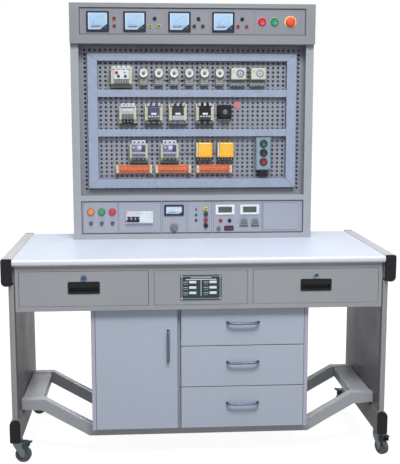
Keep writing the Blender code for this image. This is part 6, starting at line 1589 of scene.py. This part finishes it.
def signal_socket(shape, x, z):
    """A multi-pin socket shell: straight below, narrower at the top, with rows of dark contacts."""
    half, tall = 0.0195, 0.020
    shell = [(x - half, z - tall), (x + half, z - tall), (x + half, z + 0.004), (x + half * 0.6, z + tall),
             (x - half * 0.6, z + tall), (x - half, z + 0.004)]
    inner = [(x + (a - x) * 0.78, z + (b - z) * 0.74 - 0.0006) for a, b in shell]
    shape.use(SOCKET_GREY).hoop("Y", shell, inner, CONTROL_Y + 0.0005, CONTROL_Y - 0.007, 0.0010)
    shape.use(SOCKET_FLOOR).slab("Y", [(x + (a - x) * 0.80, z + (b - z) * 0.76 - 0.0006) for a, b in shell],
                                 CONTROL_Y + 0.0005, CONTROL_Y - 0.0046)
    shape.use(BLACK_MATT)
    for row, count in ((-0.0085, 5), (-0.0015, 4), (0.0055, 3)):
        for index in range(count):
            place = x + (index - (count - 1) / 2) * 0.0062
            shape.turned((place, CONTROL_Y - 0.0046, z + row),
                         [(0.0017, -0.0004), (0.0017, 0.0002), (0, 0.0002)], 10)
    shape.use(BLACK_CAP).slab("Y", [(x - half, z - tall - 0.0002), (x + half, z - tall - 0.0002),
                                    (x + half, z - tall + 0.0036), (x - half, z - tall + 0.0036)],
                              CONTROL_Y, CONTROL_Y - 0.0072, 0.0003)


def thin_plate(panel, x, z, width, height):
    plate(panel, PANEL_PAINT, x, z, width, height, CONTROL_Y, PLATE_PROUD, 0.001, 0.0003)


def plate_screws(panel, columns, levels):
    """The small screws of a thin plate, one where each column crosses each level."""
    for x in columns:
        for z in levels:
            disc(panel, PLATED, x, z, CONTROL_Y - PLATE_PROUD, 0.0012, 0.0028, 14, 0.0004)


def make_control_panel():
    low, high = BOX["control_panel"]
    panel = Shape(PANEL_PAINT)
    panel.block((low[0], CONTROL_Y, low[2]), (high[0], CONTROL_Y + 0.003, high[2]))
    # Painted shadow: a dark line round the panel's edge, standing for the shaded gap to the case's window.
    panel.use(GAP_SHADE)
    thin_frame(panel, -CONTROL_HALF, CONTROL_HALF, CONTROL_FOOT, CONTROL_TOP, CONTROL_Y, GAP_SHADOW_WIDTH)
    panel.use(LINE_INK)
    for x0, x1 in ((-0.5060, -0.3480), (-0.3440, -0.1500), (-0.1430, -0.0330), (-0.0250, 0.0860),
                   (0.0940, 0.3200), (0.3240, 0.5060)):
        thin_frame(panel, x0, x1, 0.8868, 1.0328, CONTROL_Y, 0.0016)
    for x, colour in ((-0.4713, LAMP_AMBER), (-0.4220, LAMP_GREEN), (-0.3727, LAMP_RED)):
        indicator(panel, x, 0.9858, colour)
        fuse_holder(panel, x, 0.9338)
    thin_plate(panel, -0.2475, 0.9598, 0.1784, 0.1356)
    plate_screws(panel, (-0.330, -0.165), (0.8985, 1.0210))
    meter(panel, -0.0889, 0.9918, 0.091, 0.050, CONTROL_Y, 0.007, 0.003, (0.0085, 0.0085, 0.0075),
          SMALL_DIAL, DIAL_MARGIN, (0.20, 0.26))
    scale = Shape(FIGURE_INK)
    scale.block((0.0192, -0.0002, -0.0006), (0.0232, 0.0002, 0.0006))
    grown("knob_scale", scale, FAN, {"First Angle": math.radians(-225), "Angle Step": math.radians(27),
                                     "Centre": (-0.0894, CONTROL_Y, 0.9098), "Count": 11})
    for z, ring in ((0.9958, "pink"), (0.9687, "green"), (0.9438, "black")):
        banana_jack(panel, 0.0134, CONTROL_Y, z, 0.0056, 0.004, JACK_RINGS[ring])
    for z, colour in ((0.9978, JACK_YELLOW), (0.9727, JACK_GREEN), (0.9458, JACK_RED), (0.9188, JACK_BLACK)):
        terminal_post(panel, 0.0586, z, colour)
    for x in (0.1480, 0.2630):
        digit_display(panel, x, 0.9928)
    banana_jack(panel, 0.1268, CONTROL_Y, 0.9413, 0.0085, 0.006, JACK_RED)
    banana_jack(panel, 0.1691, CONTROL_Y, 0.9413, 0.0085, 0.006, JACK_BLACK)
    disc(panel, SLATE_PLASTIC, 0.1182, 0.9048, CONTROL_Y, 0.004, 0.010)
    disc(panel, KNOB_GREY, 0.1182, 0.9048, CONTROL_Y, 0.010, 0.0066)
    panel.use(DARK_PLASTIC).block((0.1177, CONTROL_Y - 0.0102, 0.9048), (0.1187, CONTROL_Y - 0.0090, 0.9100))
    rim, hole = [rounded(ROCKER_X - half_x, ROCKER_X + half_x, ROCKER_Z - half_z, ROCKER_Z + half_z, corner)
                 for half_x, half_z, corner in ((0.0220, 0.0110, 0.002), (0.0184, 0.0073, 0.0005))]
    panel.use(BLACK_CAP).hoop("Y", rim, hole, CONTROL_Y + 0.003, CONTROL_Y - 0.003, 0.0006)
    for x in (0.2364, 0.2884):
        signal_socket(panel, x, 0.9353)
    thin_plate(panel, 0.4102, 0.9598, 0.167, 0.1262)
    panel.use(LINE_INK)
    thin_frame(panel, 0.3267, 0.4937, 0.8967, 1.0229, CONTROL_Y - PLATE_PROUD, 0.0008)
    plate_screws(panel, (0.3340, 0.4864), (0.9040, 1.0156))
    panel.piece("control_face", replaces=["control_panel"])


def make_breaker():
    """A three-pole breaker lying on its side: a stepped housing, screw wells, a lever bar in its pocket."""
    low, high = BOX["breaker_body"]
    x0, x1, z0, z1 = low[0], high[0], low[2], high[2]
    back, shoulder, nose = high[1], 0.1635, low[1]
    px0, px1, pz0, pz1 = LEVER_X - 0.0283, LEVER_X + 0.0283, LEVER_Z - 0.0125, LEVER_Z + 0.0125
    pocket = [(px0, pz0), (px1, pz0), (px1, pz1), (px0, pz1)]
    body = Shape(LILAC_PLASTIC)
    body.hoop("Y", [(x0, z0), (x1, z0), (x1, z1), (x0, z1)], pocket, back, shoulder, 0.0008)
    body.hoop("Y",
              [(x0 + 0.0002, 0.9363), (x1 - 0.0002, 0.9363), (x1 - 0.0002, 0.9682), (x0 + 0.0002, 0.9682)],
              pocket, shoulder + 0.001, nose, 0.0010)
    body.block((px0, back - 0.0020, pz0), (px1, back - 0.0005, pz1))
    body.use(BLACK_MATT).block((px0, back - 0.0021, pz0), (px1, back - 0.0019, pz0 + 0.0060))
    for pole in POLES:
        middle = (px0 + px1) / 2 + pole
        body.slab("Y",
                  [(middle - 0.0072, pz0 + 0.005), (middle + 0.0072, pz0 + 0.005),
                   (middle + 0.0042, pz1 - 0.0012), (middle - 0.0042, pz1 - 0.0012)], back - 0.0021,
                  back - 0.0019)
    body.use(PALE_PLASTIC).block((px1 + 0.003, nose - 0.0003, 0.9376),
                                 (x1 - 0.002, nose + 0.001, 0.9669), 0.0002)
    body.block((px1 + 0.003, shoulder - 0.0003, 0.9690), (x1 - 0.002, shoulder + 0.001, z1 - 0.0015), 0.0002)
    body.use(PALE_GREY)
    for up in (0.9440, 0.9520, 0.9600):
        body.block((px1 + 0.0065, nose - 0.0005, up - 0.0003), (x1 - 0.006, nose, up + 0.0003))
    for pole in range(6):
        disc(body, PALE_GREY, x0 + 0.0105 + pole * 0.0210, 0.9786, shoulder, 0.0004, 0.0034, 16, 0.0001)
        disc(body, SLATE_PLASTIC, x0 + 0.0105 + pole * 0.0210, 0.93405, shoulder, 0.0002, 0.0016,
             12, 0.00005)
    for x in (px1 + 0.0018, x0 + 0.0420, x0 + 0.0210, x1 - 0.0210):
        body.use(PALE_GREY).block((x - 0.0002, shoulder - 0.0001, 0.9690),
                                  (x + 0.0002, shoulder + 0.0010, z1 - 0.001))
    disc(body, TAG_RED, x0 + 0.0042, z1 - 0.0046, shoulder, 0.0008, 0.0034, 16, 0.0002)
    body.use(RED_DARK).block((x0 + 0.0008, nose - 0.0006, 0.9400),
                             (px0 - 0.0006, nose + 0.0012, 0.9490), 0.0004)
    body.piece("breaker_housing", replaces=["breaker_body"])
    pivot = Vector((LEVER_X, 0.1672, LEVER_Z))
    tilt = Matrix.Translation(pivot) @ Matrix.Rotation(math.radians(25), 4, "X")
    lever = Shape(BLACK_GLOSS)
    for centre in POLES:
        lever.block((-0.0080, -0.0085, -0.0028), (0.0080, 0.0085, 0.0028), 0.0012, 3,
                    tilt @ Matrix.Translation((centre, -0.0102, 0)))
    lever.block((-0.0260, -0.0020, -0.0018), (0.0260, 0.0020, 0.0018), 0.0010, 2,
                tilt @ Matrix.Translation((0, -0.0140, 0)))
    for centre in POLES:
        lever.turned((pivot.x + centre - 0.0060, pivot.y, pivot.z), [(0.0055, 0), (0.0055, 0.0120)],
                     24, "right")
    lever.use(LILAC_PLASTIC).turned((LEVER_X - 0.028, pivot.y, pivot.z), [(0.0052, 0), (0.0052, 0.056)],
                                    24, "right")
    lever.piece("breaker_lever_bar", "breaker_lever", ["breaker_lever"])


def make_knob():
    low, high = BOX["range_knob"]
    x, z = middle_of("range_knob")
    knob = Shape(KNOB_GREY)
    back = low[1] + 0.019
    knob.turned((x, back, z), [(0, 0), (0.0185, 0), (0.0185, 0.0030), (0.0176, 0.0042), (0.0156, 0.0050),
                               (0.0146, 0.0120), (0.0134, 0.0140), (0.0110, 0.0150), (0, 0.0150)], 44)
    knob.turned((x, high[1], z), [(0.0030, 0), (0.0030, high[1] - back + 0.001)], 16)
    knob.block((x - 0.0030, low[1], z - 0.0125), (x + 0.0030, low[1] + 0.0060, z + 0.0125), 0.0012, 3)
    knob.use(WHITE_PLASTIC).block((x - 0.0006, low[1], z + 0.0030),
                                  (x + 0.0006, low[1] + 0.0008, z + 0.0118))
    knob.piece("selector_knob", "range_knob", ["range_knob"])


def make_rocker():
    rocker = softened("rocker_switch", PLUM, 0.0006)
    rocker.piece("rocker_cap", "rocker_switch", ["rocker_switch"])


# Stage, lights and camera

# Each sun has a name, strength, angle and way. Each softbox has a name, watts, size, place and aim.
SUNS = (("soft_ceiling", 1.4, 50, (0.0, 0.17, -0.985)), ("front_fill", 0.6, 50, (0.0, 0.99, -0.1)))
SOFTBOXES = (("key_box", 79.0, (1.4, 0.9), (0.2, -2.3, 3.35), (0.0, 0.0, 0.9)),
             ("left_box", 36.0, (1.6, 0.7), (-3.6, 0.9, 0.50), (0.0, 0.1, 0.9)),
             ("right_box", 36.0, (1.6, 0.7), (3.6, 0.9, 0.50), (0.0, 0.1, 0.9)),
             ("rear_box", 48.0, (2.4, 0.7), (0.0, 3.7, 0.50), (0.0, 0.0, 1.1)))
WORLD_STRENGTH = 0.10
FLOOR_TONE = 0.2
FLOOR_GLOW = 0.93
FLOOR_REACH = 30.0
CAMERA_PLACE = (-0.2347, -3.7908, 1.4559)
CAMERA_TURN = (math.radians(81.88), 0, math.radians(-3.84))
CAMERA_LENS = 66.97


def seen_directly(nodes, links):
    """1 for what the camera, a reflection or glass sees, and 0 for the light that a surface gathers."""
    path = nodes.new("ShaderNodeLightPath")
    total = path.outputs["Is Camera Ray"]
    for name in ("Is Glossy Ray", "Is Transmission Ray"):
        join = nodes.new("ShaderNodeMath")
        join.operation = "MAXIMUM"
        links.new(total, join.inputs[0])
        links.new(path.outputs[name], join.inputs[1])
        total = join.outputs[0]
    return total


def make_stage():
    floor = bpy.data.meshes.new("floor")
    corners = [(x * FLOOR_REACH, y * FLOOR_REACH, 0) for x, y in ((-1, -1), (1, -1), (1, 1), (-1, 1))]
    floor.from_pydata(corners, [], [(0, 1, 2, 3)])
    ground = bpy.data.materials.new("floor_paper")
    ground.use_nodes = True
    nodes, links = ground.node_tree.nodes, ground.node_tree.links
    surface = nodes["Principled BSDF"]
    surface.inputs["Base Color"].default_value = (FLOOR_TONE, FLOOR_TONE, FLOOR_TONE, 1)
    surface.inputs["Roughness"].default_value = 0.9
    surface.inputs["Specular IOR Level"].default_value = 0.0
    glow = nodes.new("ShaderNodeEmission")
    glow.inputs["Color"].default_value = (1, 1, 1, 1)
    glow.inputs["Strength"].default_value = FLOOR_GLOW
    both = nodes.new("ShaderNodeAddShader")
    mix = nodes.new("ShaderNodeMixShader")
    links.new(surface.outputs[0], both.inputs[0])
    links.new(glow.outputs[0], both.inputs[1])
    links.new(seen_directly(nodes, links), mix.inputs["Fac"])
    links.new(surface.outputs[0], mix.inputs[1])
    links.new(both.outputs[0], mix.inputs[2])
    links.new(mix.outputs[0], nodes["Material Output"].inputs["Surface"])
    floor.materials.append(ground)
    shown("floor", floor)


def make_lights():
    for name, energy, angle, direction in SUNS:
        lamp = bpy.data.lights.new(name, "SUN")
        lamp.angle = math.radians(angle)
        lamp.energy = energy
        shown(name, lamp).rotation_euler = Vector(direction).to_track_quat("-Z", "Y").to_euler()
    for name, power, size, place, aim in SOFTBOXES:
        lamp = bpy.data.lights.new(name, "AREA")
        lamp.shape = "RECTANGLE"
        lamp.size, lamp.size_y = size
        lamp.energy = power
        hung = shown(name, lamp)
        hung.location = place
        hung.rotation_euler = (Vector(aim) - Vector(place)).to_track_quat("-Z", "Y").to_euler()
        hung.visible_camera = False
    world = bpy.data.worlds.new("studio")
    world.use_nodes = True
    nodes, links = world.node_tree.nodes, world.node_tree.links
    around = nodes["Background"]
    around.inputs["Color"].default_value = (0.95, 0.97, 1.0, 1)
    around.inputs["Strength"].default_value = WORLD_STRENGTH
    backdrop = nodes.new("ShaderNodeBackground")
    backdrop.inputs["Color"].default_value = (1, 1, 1, 1)
    mix = nodes.new("ShaderNodeMixShader")
    links.new(seen_directly(nodes, links), mix.inputs["Fac"])
    links.new(around.outputs[0], mix.inputs[1])
    links.new(backdrop.outputs[0], mix.inputs[2])
    links.new(mix.outputs[0], nodes["World Output"].inputs["Surface"])
    bpy.context.scene.world = world
    bpy.context.scene.view_settings.view_transform = "Standard"


def make_camera():
    lens_data = bpy.data.cameras.new("view")
    lens_data.lens = CAMERA_LENS
    lens_data.sensor_width = 36
    view = shown("view", lens_data)
    view.location = CAMERA_PLACE
    view.rotation_euler = CAMERA_TURN
    bpy.context.scene.camera = view


make_worktop()
for side_label, side_sign in SIDES:
    make_end_rail(side_label)
    make_leg(side_label, side_sign)
make_cradle()
make_castors()
make_apron()
for side_label, side_sign in SIDES:
    make_apron_drawer(side_label)
make_cabinet()
make_hutch()
make_head_panel()
make_board()
make_duct()
make_devices()
make_station()
make_control_panel()
make_breaker()
make_knob()
make_rocker()
make_stage()
make_lights()
make_camera()
